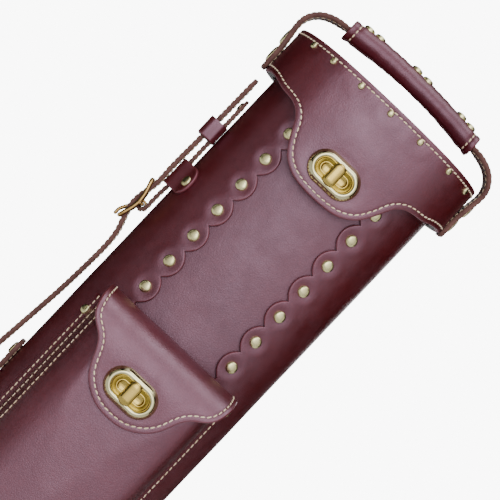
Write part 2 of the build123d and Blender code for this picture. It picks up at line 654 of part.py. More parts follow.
def add_top_handle(nodes):
    strap, grip = top_handle()
    studs = grip_rivet_set()
    side_rivets = handle_rivet_set()
    nodes["handle_strap"] = strap - side_rivets
    nodes["handle_grip"] = grip - studs
    nodes["grip_rivets"] = set_of(studs)
    nodes["handle_rivets"] = set_of(side_rivets)
    nodes["lid_band"] -= side_rivets
    nodes["lid_core"] -= side_rivets


def add_anchors(nodes):
    half = 10.5
    places = (("upper_anchor", 731.0, CHAPE_X - 1.25), ("lower_anchor", 150.0, -(STRAP_FACE + 3.2)))
    for name, z, face in places:
        rivets = anchor_rivet_set(z)
        nodes[name + "_rivets"] = set_of(rivets)
        nodes[name + "_band"] = anchor_band(z - half, z + half, face) - rivets


def add_straps(nodes):
    line = strap_line()
    cap_at = Plane(origin=(CHAPE_X - 1.2, 0, 791), x_dir=(0, -1, 0), z_dir=(-1, 0, 0))
    prong_slot = block(-90, -74, -2.4, 2.4, 684.2, 704.5)
    lower = ribbon(line["lower"], STRAP_THICK, STRAP_WIDTH)
    nodes["chape_rivet"] = cap_at.location * rivet(3.6, 1.5, 1.2, 4.0)
    nodes["buckle_chape"] = buckle_chape() - nodes["chape_rivet"]
    nodes["buckle_frame"] = buckle_frame()
    nodes["buckle_prong"] = buckle_prong()
    nodes["strap_keeper"] = strap_keeper()
    nodes["strap_upper"] = ribbon(line["upper"], STRAP_THICK, STRAP_WIDTH) - prong_slot
    nodes["shoulder_strap"] = ribbon(line["middle"], STRAP_THICK, STRAP_WIDTH)
    nodes["strap_lower"] = lower - oval_solid(0.05, 0, CASE_TOP)


def add_side_handle(nodes):
    handle, rivets = side_handle()
    nodes["side_handle"] = handle - rivets
    nodes["side_handle_rivets"] = set_of(rivets)


def build():
    nodes = {}
    for add in (add_body, add_inside, add_base, add_pouch, add_lid, add_lid_tongue, add_hinge, add_top_handle,
                add_anchors, add_straps, add_side_handle):
        add(nodes)
    return nodes


for name, shape in build().items():
    export_step(Compound(children=list(shape.solids())), f"parts/{name}.step")
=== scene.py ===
import bpy
import json
import math
import numpy as np
from mathutils import Matrix, Vector


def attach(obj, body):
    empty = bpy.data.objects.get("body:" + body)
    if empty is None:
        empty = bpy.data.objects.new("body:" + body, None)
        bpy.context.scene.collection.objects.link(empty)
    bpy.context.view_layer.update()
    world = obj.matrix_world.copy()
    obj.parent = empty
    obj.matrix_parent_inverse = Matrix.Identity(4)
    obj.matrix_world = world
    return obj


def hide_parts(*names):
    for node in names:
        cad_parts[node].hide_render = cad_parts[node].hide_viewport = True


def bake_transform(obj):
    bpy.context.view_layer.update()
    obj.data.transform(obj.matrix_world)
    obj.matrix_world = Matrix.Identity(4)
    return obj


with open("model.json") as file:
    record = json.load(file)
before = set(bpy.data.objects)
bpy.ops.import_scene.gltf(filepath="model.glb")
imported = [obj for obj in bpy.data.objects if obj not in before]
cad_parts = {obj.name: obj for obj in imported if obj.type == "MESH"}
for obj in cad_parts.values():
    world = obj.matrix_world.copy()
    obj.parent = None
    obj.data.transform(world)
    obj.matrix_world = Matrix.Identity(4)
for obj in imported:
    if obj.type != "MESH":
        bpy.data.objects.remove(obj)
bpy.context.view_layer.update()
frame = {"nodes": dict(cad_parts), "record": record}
MM = 0.001

# ---- The case's dimensions, in millimetres, as in the CAD ---------------------------------------
SIDE_X, SIDE_R, FRONT_R = 25.0, 44.0, 150.0
HALF_WIDTH = SIDE_X + SIDE_R
FRONT_CY = math.sqrt((FRONT_R - SIDE_R) ** 2 - SIDE_X**2)
HALF_DEPTH = FRONT_R - FRONT_CY
ALPHA = math.asin(SIDE_X / (FRONT_R - SIDE_R))
FRONT_ARC = FRONT_R * ALPHA
SIDE_ARC = SIDE_R * (math.pi - 2 * ALPHA)
GIRTH = 4 * FRONT_ARC + 2 * SIDE_ARC
CASE_TOP, LID_RIM, LID_OUT = 856.0, 820.0, 9.5
BODY_TOP, BODY_LOW = 828.0, 6.0
WRAP_THICK, PANEL_HALF = 2.0, 47.0
RIVET_X, PITCH = 38.0, 22.25
RIVET_MARGIN, SCALLOP_RISE = 2.8, 6.2
RIVET_ROWS = ((798.0, 7), (375.25, 15))
POUCH_TOP = 640.0
LID_LOCK_Z, POUCH_LOCK_Z = 797.5, 613.5
FLAP_Y, FLAP_HALF = -89.1, 54.0
FOOT = 4.0
BAND_TOP, BAND_OUT = 40.0, 3.05
CHAPE_X, BAR = -71.9, (-76.0, 700.0)
SEAM, GROOVE = 3.6, 0.28
EDGE_STEPS = np.array([0, 0.18, 0.42, 0.75, 1.2, 1.8, 2.5, 3.0, 3.4, 3.8, 4.3, 5.2])


# ---- Curves and surfaces ------------------------------------------------------------------------
def smooth(t):
    """A soft step from 0 to 1."""
    return t * t * (3 - 2 * t)


def rise(value, start, length):
    """0 up to start, then a straight rise to 1 over length."""
    return np.clip((value - start) / length, 0, 1)


def bell(value, width):
    return np.exp(-((value / width) ** 2))


def travel(points):
    """Distance along a polyline at each of its points."""
    return np.concatenate([[0], np.cumsum(np.linalg.norm(np.diff(points, axis=0), axis=1))])


def length_of(curve):
    return float(np.linalg.norm(np.diff(curve, axis=0), axis=1).sum())


def circle(n):
    """n angles around a full turn."""
    return np.linspace(0, 2 * math.pi, n + 1)[:-1]


def oval(s, off):
    """Points and outward normals at arc length s from the front's centre, moved out by off."""
    s = (np.asarray(s, float) + GIRTH / 2) % GIRTH - GIRTH / 2
    sign, a = np.where(s < 0, -1.0, 1.0), np.abs(s)
    angle = np.where(
        a <= FRONT_ARC, a / FRONT_R,
        np.where(a <= FRONT_ARC + SIDE_ARC, ALPHA + (a - FRONT_ARC) / SIDE_R,
                 math.pi - ALPHA + (a - FRONT_ARC - SIDE_ARC) / FRONT_R))
    nx, ny = np.sin(angle), -np.cos(angle)
    front, back = a <= FRONT_ARC, a > FRONT_ARC + SIDE_ARC
    radius = np.where(front | back, FRONT_R, SIDE_R) + off
    cx = np.where(front | back, 0.0, SIDE_X)
    cy = np.where(front, FRONT_CY, np.where(back, -FRONT_CY, 0.0))
    return sign * (cx + radius * nx), cy + radius * ny, sign * nx, ny


def arc_of(x, off=0.0):
    """Arc length on the front half at which the oval, moved out by off, reaches x."""
    x = np.asarray(x, float)
    a = np.abs(x)
    on_front = a <= (FRONT_R + off) * math.sin(ALPHA)
    front = FRONT_R * np.arcsin(np.clip(a / (FRONT_R + off), 0, 1))
    side = FRONT_ARC + SIDE_R * (np.arcsin(np.clip((a - SIDE_X) / (SIDE_R + off), -1, 1)) - ALPHA)
    return np.sign(x) * np.where(on_front, front, side)


def wrap_map(a, b, off):
    """Domain (arc length, height) onto the case's oval."""
    x, y, nx, ny = oval(a, off)
    return np.stack([x, y, np.asarray(b, float) + 0 * x], -1), np.stack([nx, ny, 0 * nx], -1)


def spline(points, n):
    """A natural cubic curve through the points: n positions at even arc length."""
    p = np.asarray(points, float)
    d = travel(p)
    k = len(p)
    fine = np.linspace(0, d[-1], 60 * k)
    h = np.diff(d)
    out = []
    for c in range(p.shape[1]):
        A, r = np.zeros((k, k)), np.zeros(k)
        A[0, 0] = A[-1, -1] = 1
        for i in range(1, k - 1):
            A[i, i - 1], A[i, i], A[i, i + 1] = h[i - 1], 2 * (h[i - 1] + h[i]), h[i]
            r[i] = 6 * ((p[i + 1, c] - p[i, c]) / h[i] - (p[i, c] - p[i - 1, c]) / h[i - 1])
        m = np.linalg.solve(A, r)
        j = np.clip(np.searchsorted(d, fine, side="right") - 1, 0, k - 2)
        t0, t1, hh = fine - d[j], d[j + 1] - fine, h[j]
        out.append(m[j] * t1**3 / (6 * hh) + m[j + 1] * t0**3 / (6 * hh)
                   + (p[j, c] / hh - m[j] * hh / 6) * t1 + (p[j + 1, c] / hh - m[j + 1] * hh / 6) * t0)
    return even(np.stack(out, -1), n)


def xz(points, n=260):
    """A smooth curve through (x, z) points in the case's middle plane."""
    line = spline(points, n)
    return np.stack([line[:, 0], 0 * line[:, 0], line[:, 1]], -1)


def even(curve, n):
    """The same polyline with n points at even arc length."""
    d = travel(curve)
    t = np.linspace(0, d[-1], n)
    return np.stack([np.interp(t, d, curve[:, c]) for c in range(curve.shape[1])], -1)


def level_line(start, end, height, n):
    """n domain points at one height."""
    return np.stack([np.linspace(start, end, n), np.full(n, height)], -1)


def inset(line, distance, toward):
    """A polyline moved sideways by distance, to the side that the point toward is on."""
    t = np.gradient(line, axis=0)
    t /= np.linalg.norm(t, axis=1, keepdims=True)
    n = np.stack([-t[:, 1], t[:, 0]], -1)
    middle = len(line) // 2
    if (np.asarray(toward) - line[middle]) @ n[middle] < 0:
        n = -n
    return line + distance * n


def softened(points, steps=10, rounds=6, closed=False):
    """A polyline with evenly spread points and rounded corners."""
    points = np.array(points, float)
    if closed:
        points = np.concatenate([points, points[:1]])
    pairs = zip(points[:-1], points[1:])
    line = np.concatenate([np.linspace(p, q, steps + 1)[:-1] for p, q in pairs] + [points[-1:]])
    if closed:
        line = line[:-1]
        for _ in range(rounds):
            line = 0.25 * np.roll(line, 1, 0) + 0.5 * line + 0.25 * np.roll(line, -1, 0)
        return line
    for _ in range(rounds):
        line[1:-1] = 0.25 * line[:-2] + 0.5 * line[1:-1] + 0.25 * line[2:]
    return line


class PathMap:
    """Domain (across, along) onto a band that follows a flat path. across is a fixed direction."""

    def __init__(self, path, normal_side, across, closed=False):
        self.p = np.asarray(path, float)
        self.d = travel(self.p)
        t = np.gradient(self.p, axis=0)
        if closed:
            t[0] = t[-1] = self.p[1] - self.p[-2]
        t /= np.linalg.norm(t, axis=1, keepdims=True)
        self.w = np.asarray(across, float)
        n = np.cross(t, self.w) * normal_side
        self.n = n / np.linalg.norm(n, axis=1, keepdims=True)
        self.length = self.d[-1]

    def __call__(self, a, b, off):
        b = np.asarray(b, float)
        pos = np.stack([np.interp(b, self.d, self.p[:, c]) for c in range(3)], -1)
        nor = np.stack([np.interp(b, self.d, self.n[:, c]) for c in range(3)], -1)
        nor /= np.linalg.norm(nor, axis=-1, keepdims=True)
        a = np.asarray(a, float) + 0 * b
        off = np.asarray(off, float) + 0 * b
        return pos + a[..., None] * self.w + off[..., None] * nor, nor


def on(mapping, line, off, extra=None):
    """A domain line carried onto the surface: (positions, normals)."""
    o = off + 0 * line[:, 0] if extra is None else off + extra(line[:, 0], line[:, 1])
    return mapping(line[:, 0], line[:, 1], o)


def spot(mapping, a, b, off):
    """One domain point carried onto the surface: (position, normal)."""
    pos, nor = mapping(np.array([float(a)]), np.array([float(b)]), np.array([float(off)]))
    return pos[0], nor[0]


def wobble(pos, scale, seed=0.0):
    """Smooth, repeatable unevenness between -1 and 1."""
    x, y, z = (pos[..., i] / scale + seed * (1.3 + i) for i in range(3))
    return (np.sin(x * 1.7 + 1.3 * np.sin(y * 1.1 + 0.7 * z))
            + np.sin(y * 1.9 + 1.1 * np.sin(z * 1.3 - 0.6 * x))
            + np.sin(z * 1.6 + 1.2 * np.sin(x * 0.9 + y))) / 3


# ---- Mesh building ------------------------------------------------------------------------------
def new_mesh(name, verts, faces, material, nodes=(), body=None, attrs=None):
    """A smooth-shaded piece from points in millimetres. nodes are the CAD nodes that it stands for."""
    mesh = bpy.data.meshes.new(name)
    mesh.from_pydata((np.asarray(verts, float) * MM).tolist(), [], faces)
    mesh.validate()
    for key, values in (attrs or {}).items():
        layer = mesh.attributes.new(key, "FLOAT", "POINT")
        layer.data.foreach_set("value", np.asarray(values, np.float32))
    mesh.polygons.foreach_set("use_smooth", [True] * len(mesh.polygons))
    mesh.materials.append(material)
    obj = bpy.data.objects.new(name, mesh)
    bpy.context.scene.collection.objects.link(obj)
    if body:
        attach(obj, body)
    if nodes:
        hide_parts(*nodes)
    return obj


def ring_faces(rings, n):
    """Quads between stacked closed rings of n points."""
    return [(i * n + j, i * n + (j + 1) % n, (i + 1) * n + (j + 1) % n, (i + 1) * n + j)
            for i in range(rings - 1) for j in range(n)]


def end_caps(rings, n):
    """The faces that close a stack of rings: the last ring, then the first."""
    return [tuple((rings - 1) * n + j for j in range(n)), tuple(range(n - 1, -1, -1))]


def outline_distance(a, b, outline):
    """Distance from each (a, b) to a polyline in the same domain."""
    pts = np.stack([np.ravel(a), np.ravel(b)], -1)
    best = np.full(len(pts), 1e9)
    for p, q in zip(outline[:-1], outline[1:]):
        e = q - p
        t = np.clip(((pts - p) @ e) / max(e @ e, 1e-12), 0, 1)
        best = np.minimum(best, np.hypot(*(pts - p - t[:, None] * e).T))
    return best.reshape(np.shape(a))


def sheet_faces(rows, cols, closed):
    """Both faces and the rims of a sheet whose points are its outer grid and then its inner grid."""
    n = rows * cols
    wrap = cols if closed else cols - 1
    faces = []
    for i in range(rows - 1):
        for j in range(wrap):
            k = (j + 1) % cols
            q = (i * cols + j, i * cols + k, (i + 1) * cols + k, (i + 1) * cols + j)
            faces.append(q)
            faces.append(tuple(n + v for v in reversed(q)))
    for i, flip in ((0, True), (rows - 1, False)):
        for j in range(wrap):
            k = (j + 1) % cols
            q = (i * cols + j, i * cols + k, n + i * cols + k, n + i * cols + j)
            faces.append(tuple(reversed(q)) if flip else q)
    if not closed:
        for j, flip in ((0, False), (cols - 1, True)):
            for i in range(rows - 1):
                q = (i * cols + j, (i + 1) * cols + j, n + (i + 1) * cols + j, n + i * cols + j)
                faces.append(tuple(reversed(q)) if flip else q)
    return faces


def leather_sheet(name, nodes, mapping, A, B, outline, thick, base=0.0, field=None, grooves=(), material=None,
                  body=None, round_r=0.9, closed=False, uneven=0.12, seed=1.0):
    """A sheet of leather with rounded edges over a grid in the domain. base is its outer face's offset."""
    d = outline_distance(A, B, outline)
    r = min(round_r, thick * 0.6)
    off = base - np.where(d < r, r - np.sqrt(np.maximum(r**2 - (r - d) ** 2, 0)), 0) + 0 * A
    if field is not None:
        off = off + field(A, B)
    for line, depth in grooves:
        off = off - depth * bell(outline_distance(A, B, line), 0.8)
    pos, _ = mapping(A, B, 0 * A)
    off = off + uneven * wobble(pos, 17.0, seed) * np.clip(d / 4, 0, 1)
    outer, inner = (mapping(A, B, o)[0].reshape(-1, 3) for o in (off, base - thick + 0 * A))
    verts = np.concatenate([outer, inner])
    faces = sheet_faces(*A.shape, closed)
    first = verts[list(faces[0])]
    if np.cross(first[1] - first[0], first[3] - first[0]) @ (outer[0] - inner[0]) < 0:
        faces = [tuple(reversed(f)) for f in faces]
    edge = np.exp(-(np.maximum(d - 0.15, 0) / 0.55)).ravel()
    attrs = {"edge": np.concatenate([edge, 0.35 + 0.65 * edge]),
             "under": np.concatenate([0 * edge, 1 - edge])}
    return new_mesh(name, verts, faces, material or LEATHER, nodes, body, attrs)


def graded(total, near=(0, 0.18, 0.42, 0.75, 1.2, 1.8, 2.4, 2.9, 3.3, 3.6, 3.9, 4.3, 4.9, 5.7), step=2.0):
    """Positions 0..total, close together at both ends."""
    near = [v for v in near if v < total / 2 - 0.05]
    middle = np.linspace(near[-1], total - near[-1], max(2, int(round((total - 2 * near[-1]) / step)) + 1))
    return np.concatenate([near[:-1], middle, total - np.array(near[:-1])[::-1]])


def rounded_grid(a0, a1, b0, b1, radius, step_a=2.0, step_b=2.0, ends=(True, True)):
    """A grid over a rectangle with round corners, and its outline. ends: which b ends are rounded."""
    cols = a0 + graded(a1 - a0, step=step_a)
    rows = graded(b1 - b0, step=step_b) / (b1 - b0)
    side = np.minimum(cols - a0, a1 - cols)
    shrink = np.where(side < radius, radius - np.sqrt(np.maximum(radius**2 - (radius - side) ** 2, 0)), 0)
    low, high = b0 + shrink * ends[0], b1 - shrink * ends[1]
    B = low[None] + rows[:, None] * (high - low)[None]
    A = cols[None] + 0 * B
    low_edge, high_edge = np.stack([cols, low], -1), np.stack([cols, high], -1)
    if ends[0] and ends[1]:
        outline = np.concatenate([low_edge, high_edge[::-1], low_edge[:1]])
    elif ends[0]:
        outline = np.concatenate([[(a0, b1 + 9)], low_edge, [(a1, b1 + 9)]])
    else:
        outline = np.concatenate([[(a0, b0 - 9)], high_edge, [(a1, b0 - 9)]])
    return A, B, outline


def stitches(name, lines, body=None, pitch=4.0, size=(2.95, 0.95, 0.75)):
    """Threads along lines of (positions, normals): short, slightly twisted beads in a sewn row."""
    length, width, height = size
    sides, lift, reach = 8, 0.08, 0.6
    ring = [(math.cos(t), math.sin(t)) for t in circle(sides)]
    levels = [(-0.5, 0.25), (-0.42, 0.72), (-0.2, 1.0), (0.2, 1.0), (0.42, 0.72), (0.5, 0.25)]
    bead = np.array([(u * length, c * w * width / 2, s * w * height / 2) for u, w in levels for c, s in ring])
    quads = ring_faces(len(levels), sides) + end_caps(len(levels), sides)[::-1]
    verts, faces, count = [], [], 0
    for pos, nor in lines:
        d = travel(pos)
        total = length_of(pos)
        steps = max(2, int(round(total / pitch)))
        for k in range(steps):
            t = (k + 0.5) * total / steps
            at, ahead, behind = (np.array([np.interp(t + dt, d, pos[:, c]) for c in range(3)])
                                 for dt in (0, reach, -reach))
            n = np.array([np.interp(t, d, nor[:, c]) for c in range(3)])
            n /= np.linalg.norm(n)
            along = ahead - behind
            along -= n * (along @ n)
            along /= np.linalg.norm(along)
            side = np.cross(n, along)
            turn = 0.10 + 0.05 * math.sin(7.3 * count + 1.1)
            c, s = math.cos(turn), math.sin(turn)
            along, side = along * c + side * s, side * c - along * s
            grow = 1 + 0.06 * math.sin(3.7 * count)
            turned = bead[:, :1] * along * grow + bead[:, 1:2] * side + bead[:, 2:3] * n
            verts.append(at + n * lift + turned)
            faces += [tuple(v + len(bead) * count for v in q) for q in quads]
            count += 1
    return new_mesh(name, np.concatenate(verts), faces, THREAD, body=body)


def caps(name, node, places, radius, height, body):
    """Domed caps at (position, outward normal)."""
    levels = [(1.0, -0.9), (1.0, 0.04), (0.985, 0.20), (0.945, 0.40), (0.87, 0.60), (0.76, 0.76),
              (0.60, 0.88), (0.40, 0.955), (0.20, 0.99)]
    sides = 28
    dome = [(r * radius * math.cos(t), r * radius * math.sin(t), h * height if h > 0 else h)
            for r, h in levels for t in circle(sides)]
    dome = np.array(dome + [(0, 0, height)])
    top = len(dome) - 1
    last = (len(levels) - 1) * sides
    quads = ring_faces(len(levels), sides)
    quads += [(last + j, last + (j + 1) % sides, top) for j in range(sides)]
    verts, faces = [], []
    for k, (at, n) in enumerate(places):
        n = np.asarray(n, float) / np.linalg.norm(n)
        u = np.cross((0, 0, 1) if abs(n[2]) < 0.9 else (0, 1, 0), n)
        u /= np.linalg.norm(u)
        w = np.cross(n, u)
        verts.append(np.asarray(at, float) + dome[:, :1] * u + dome[:, 1:2] * w + dome[:, 2:3] * n)
        faces += [tuple(v + (top + 1) * k for v in q) for q in quads]
    return new_mesh(name, np.concatenate(verts), faces, RIVET_BRASS, (node,), body)


def rod(path, radius, closed=False, sides=18):
    """Points and faces of a round rod along a path. An open rod has rounded ends."""
    p = np.asarray(path, float)
    t = np.roll(p, -1, 0) - np.roll(p, 1, 0) if closed else np.gradient(p, axis=0)
    t /= np.linalg.norm(t, axis=1, keepdims=True)
    n = len(p)
    r = np.full(n, radius)
    if not closed:
        d = travel(p)
        end = np.minimum(d, d[-1] - d)
        r = radius * np.sqrt(np.clip(1 - (1 - np.clip(end / radius, 0.02, 1)) ** 2, 0, 1))
    u = np.cross(t[0], (0.31, 0.17, 0.93))
    verts = []
    for i in range(n):
        u = u - t[i] * np.dot(u, t[i])
        u /= np.linalg.norm(u)
        v = np.cross(t[i], u)
        verts += [p[i] + r[i] * (math.cos(a) * u + math.sin(a) * v) for a in circle(sides)]
    if closed:
        total = n * sides
        faces = [tuple(v % total for v in q) for q in ring_faces(n + 1, sides)]
    else:
        faces = ring_faces(n, sides) + end_caps(n, sides)[::-1]
    return np.array(verts), faces


def joined(name, node, parts, material, body):
    """One metal piece from several meshes."""
    verts, faces, start = [], [], 0
    for v, f in parts:
        verts.append(v)
        faces += [tuple(start + i for i in face) for face in f]
        start += len(v)
    return new_mesh(name, np.concatenate(verts), faces, material, (node,), body)


# ---- Materials ----------------------------------------------------------------------------------
class Nodes:
    """A short way to build the node tree of a material or of the world."""

    def __init__(self, owner, coords="Object"):
        owner.use_nodes = True
        self.owner = owner
        self.tree = owner.node_tree
        self.tree.nodes.clear()
        self.coords = self.add("ShaderNodeTexCoord").outputs[coords]

    def add(self, kind, **inputs):
        node = self.tree.nodes.new(kind)
        for key, value in inputs.items():
            self.set(node, key.replace("_", " "), value)
        return node

    def set(self, node, key, value):
        """Link or write one input, by its name or its number."""
        target = node.inputs[key]
        if hasattr(value, "links"):
            self.tree.links.new(value, target)
        else:
            target.default_value = value

    def noise(self, scale, detail=4.0, rough=0.55, coords=None, distortion=0.0):
        return self.add("ShaderNodeTexNoise", Vector=coords or self.coords, Scale=scale, Detail=detail,
                        Roughness=rough, Distortion=distortion).outputs["Fac"]

    def voronoi(self, scale, feature="F1"):
        node = self.add("ShaderNodeTexVoronoi", Vector=self.coords, Scale=scale)
        node.feature = feature
        return node.outputs["Distance"]

    def remap(self, value, low, high, to_low=0.0, to_high=1.0, kind="LINEAR"):
        node = self.add("ShaderNodeMapRange", Value=value, From_Min=low, From_Max=high, To_Min=to_low,
                        To_Max=to_high)
        node.interpolation_type = kind
        return node.outputs["Result"]

    def math(self, op, a, b=0.0):
        node = self.tree.nodes.new("ShaderNodeMath")
        node.operation = op
        self.set(node, 0, a)
        self.set(node, 1, b)
        return node.outputs[0]

    def times(self, a, b):
        return self.math("MULTIPLY", a, b)

    def plus(self, a, b):
        return self.math("ADD", a, b)

    def mix(self, factor, a, b):
        """A colour mix. The node's factor is input 0, its colours are inputs 6 and 7 and output 2."""
        node = self.tree.nodes.new("ShaderNodeMix")
        node.data_type = "RGBA"
        self.set(node, 0, factor)
        for i, colour in ((6, a), (7, b)):
            self.set(node, i, colour if hasattr(colour, "links") else (*colour, 1))
        return node.outputs[2]

    def attribute(self, name):
        node = self.tree.nodes.new("ShaderNodeAttribute")
        node.attribute_name = name
        return node.outputs["Fac"]

    def bump(self, height, strength, distance, normal=None):
        node = self.add("ShaderNodeBump", Height=height, Strength=strength, Distance=distance)
        if normal is not None:
            self.set(node, "Normal", normal)
        return node.outputs["Normal"]

    def finish(self, **inputs):
        """Close a material with one shader, and give it back."""
        shader = self.add("ShaderNodeBsdfPrincipled", **inputs)
        self.add("ShaderNodeOutputMaterial", Surface=shader.outputs[0])
        return self.owner


def material_nodes(name):
    return Nodes(bpy.data.materials.new(name))


def leather_material(name, deep, mid, pale, rough=(0.34, 0.46), grain=1.0, coat=0.06, shine=1.0):
    """Smooth-finished leather: fine pores and creases, cloudy dye, painted shade darkening the grain's creases,
    paler worn and cut edges, a waxed coat.
    """
    m = material_nodes(name)
    raw_side = (0.10, 0.055, 0.045)
    rose_gloss = (1.0, 0.70, 0.90, 1.0)
    cells = m.voronoi(620.0, "DISTANCE_TO_EDGE")

    tone = m.mix(m.remap(m.noise(16.0, 5.0, 0.6, distortion=0.6), 0.35, 0.68), deep, mid)
    tone = m.mix(m.remap(m.noise(260.0, 4.0, 0.65), 0.42, 0.72, 0.0, 0.22), tone, pale)
    # Painted shade: the grain's creases are darkened toward a deep tone, as if shaded.
    tone = m.mix(m.remap(cells, 0.0, 0.10, 0.30, 0.0), tone, tuple(c * 0.45 for c in deep))
    worn = m.times(m.attribute("edge"), m.remap(m.noise(90.0, 3.0), 0.35, 0.65, 0.45, 1.0))
    tone = m.mix(worn, tone, pale)
    under = m.attribute("under")
    tone = m.mix(under, tone, raw_side)

    roughness = m.remap(m.noise(70.0, 3.0), 0.3, 0.7, *rough)
    roughness = m.plus(roughness, m.times(m.math("MAXIMUM", worn, under), 0.2))

    creases = m.times(m.remap(cells, 0.0, 0.16), 0.6)
    pores = m.times(m.voronoi(1050.0), 0.25)
    normal = m.bump(m.plus(creases, pores), 0.16 * grain, 0.0004)
    normal = m.bump(m.noise(300.0, 4.0), 0.10 * grain, 0.0006, normal)
    long_way = m.add("ShaderNodeMapping", Vector=m.coords, Rotation=(0.0, 0.5, 0.0), Scale=(3.2, 1.6, 0.7))
    wrinkles = m.noise(70.0, 5.0, 0.7, coords=long_way.outputs[0], distortion=0.8)
    normal = m.bump(wrinkles, 0.14 * grain, 0.0007, normal)
    normal = m.bump(m.noise(34.0, 3.0), 0.22, 0.0016, normal)
    return m.finish(Base_Color=tone, Roughness=roughness, Normal=normal, Coat_Weight=coat,
                    Coat_Roughness=0.30, Coat_Normal=normal, Specular_IOR_Level=shine, IOR=1.62,
                    Specular_Tint=rose_gloss)


def brass_material(name, tint, warm, rough):
    """Polished brass plate: hair scratches, faint tarnish and small dents."""
    m = material_nodes(name)
    stretch = m.add("ShaderNodeMapping", Vector=m.coords, Scale=(1.0, 1.0, 14.0))
    hair = m.noise(900.0, 3.0, 0.6, coords=stretch.outputs[0])
    tarnish = m.noise(120.0, 4.0, 0.6)
    tone = m.mix(m.remap(tarnish, 0.45, 0.75, 0.0, 0.55), tint, warm)
    roughness = m.plus(m.remap(hair, 0.3, 0.7, *rough), m.remap(tarnish, 0.5, 0.8, 0.0, 0.12))
    normal = m.bump(hair, 0.05, 0.0002)
    normal = m.bump(m.noise(210.0, 2.0), 0.10, 0.0005, normal)
    return m.finish(Base_Color=tone, Metallic=1.0, Roughness=roughness, Normal=normal)


def thread_material():
    """Waxed linen thread, with its twist and fuzz, and painted shade in the twist's grooves."""
    m = material_nodes("waxed_thread")
    wave = m.add("ShaderNodeTexWave", Vector=m.coords, Scale=420.0, Distortion=1.5)
    wave.bands_direction = "DIAGONAL"
    twist = wave.outputs["Fac"]
    tone = m.mix(m.remap(m.noise(55.0, 2.0), 0.35, 0.7), (0.82, 0.66, 0.42), (0.97, 0.84, 0.60))
    # Painted shade: the grooves of the twist are darkened toward a deep brown.
    tone = m.mix(m.times(twist, 0.25), tone, (0.52, 0.36, 0.18))
    normal = m.bump(twist, 0.35, 0.0002)
    normal = m.bump(m.noise(1600.0, 3.0), 0.3, 0.0002, normal)
    return m.finish(Base_Color=tone, Roughness=0.62, Normal=normal, Sheen_Weight=0.3)


def cloth_material(name, dark, light, scale=900.0):
    """Short-pile velour, felt or foam."""
    m = material_nodes(name)
    pile = m.noise(scale, 5.0, 0.7)
    patches = m.times(m.noise(24.0, 3.0), 0.4)
    tone = m.mix(m.remap(m.plus(m.times(pile, 0.6), patches), 0.35, 0.65), dark, light)
    return m.finish(Base_Color=tone, Roughness=0.92, Normal=m.bump(pile, 0.6, 0.0006), Sheen_Weight=0.5,
                    Sheen_Roughness=0.4)


def board_material():
    """Black vulcanised fibreboard."""
    m = material_nodes("fibreboard")
    fibre = m.noise(420.0, 6.0, 0.7, distortion=1.2)
    tone = m.mix(m.remap(fibre, 0.35, 0.7), (0.012, 0.011, 0.011), (0.045, 0.038, 0.034))
    return m.finish(Base_Color=tone, Roughness=m.remap(fibre, 0.3, 0.7, 0.45, 0.7),
                    Normal=m.bump(fibre, 0.25, 0.0003))


def plastic_material(name, tone_a, tone_b, rough):
    """Moulded plastic or rubber with a fine satin texture."""
    m = material_nodes(name)
    fine = m.noise(800.0, 3.0)
    tone = m.mix(m.remap(m.noise(40.0, 3.0), 0.3, 0.7), tone_a, tone_b)
    roughness = m.remap(fine, 0.3, 0.7, rough - 0.06, rough + 0.08)
    return m.finish(Base_Color=tone, Roughness=roughness, Normal=m.bump(fine, 0.2, 0.0002))


OXBLOOD = ((0.050, 0.0008, 0.0008), (0.070, 0.0012, 0.0012), (0.130, 0.014, 0.014))
OXBLOOD_PANEL = ((0.040, 0.0012, 0.0012), (0.060, 0.0024, 0.0022), (0.120, 0.018, 0.018))
STRAP_BROWN = ((0.034, 0.011, 0.008), (0.056, 0.020, 0.016), (0.150, 0.075, 0.058))
LEATHER = leather_material("oxblood_leather", *OXBLOOD)
GRIP_LEATHER = leather_material("oxblood_grip_leather", *OXBLOOD, rough=(0.26, 0.36), shine=0.62)
PANEL_LEATHER = leather_material("oxblood_panel_leather", *OXBLOOD_PANEL, rough=(0.40, 0.52))
STRAP_LEATHER = leather_material("strap_leather", *STRAP_BROWN, rough=(0.46, 0.62), grain=1.8, coat=0.04,
                                 shine=0.22)
BRASS = brass_material("pale_brass", (0.66, 0.63, 0.36), (0.42, 0.38, 0.15), rough=(0.03, 0.09))
RIVET_BRASS = brass_material("satin_brass", (0.72, 0.70, 0.36), (0.52, 0.47, 0.20), rough=(0.20, 0.32))
# A darker copy of the brass, used for the buckle: painted shade for a part that lies in shadow on the case's
# side.
SHADED_BRASS = brass_material("shaded_brass", (0.52, 0.34, 0.12), (0.20, 0.12, 0.045), rough=(0.16, 0.30))
GOLD_BRASS = brass_material("warm_brass", (0.50, 0.38, 0.10), (0.30, 0.21, 0.05), rough=(0.10, 0.20))
THREAD = thread_material()
VELOUR = cloth_material("black_velour", (0.004, 0.004, 0.005), (0.020, 0.020, 0.023))
FOAM = cloth_material("grey_foam", (0.035, 0.035, 0.036), (0.075, 0.075, 0.078), scale=500.0)
BOARD = board_material()
TUBE = plastic_material("flocked_tube", (0.010, 0.010, 0.011), (0.020, 0.020, 0.022), 0.7)
RUBBER = plastic_material("black_rubber", (0.008, 0.008, 0.008), (0.016, 0.016, 0.016), 0.55)

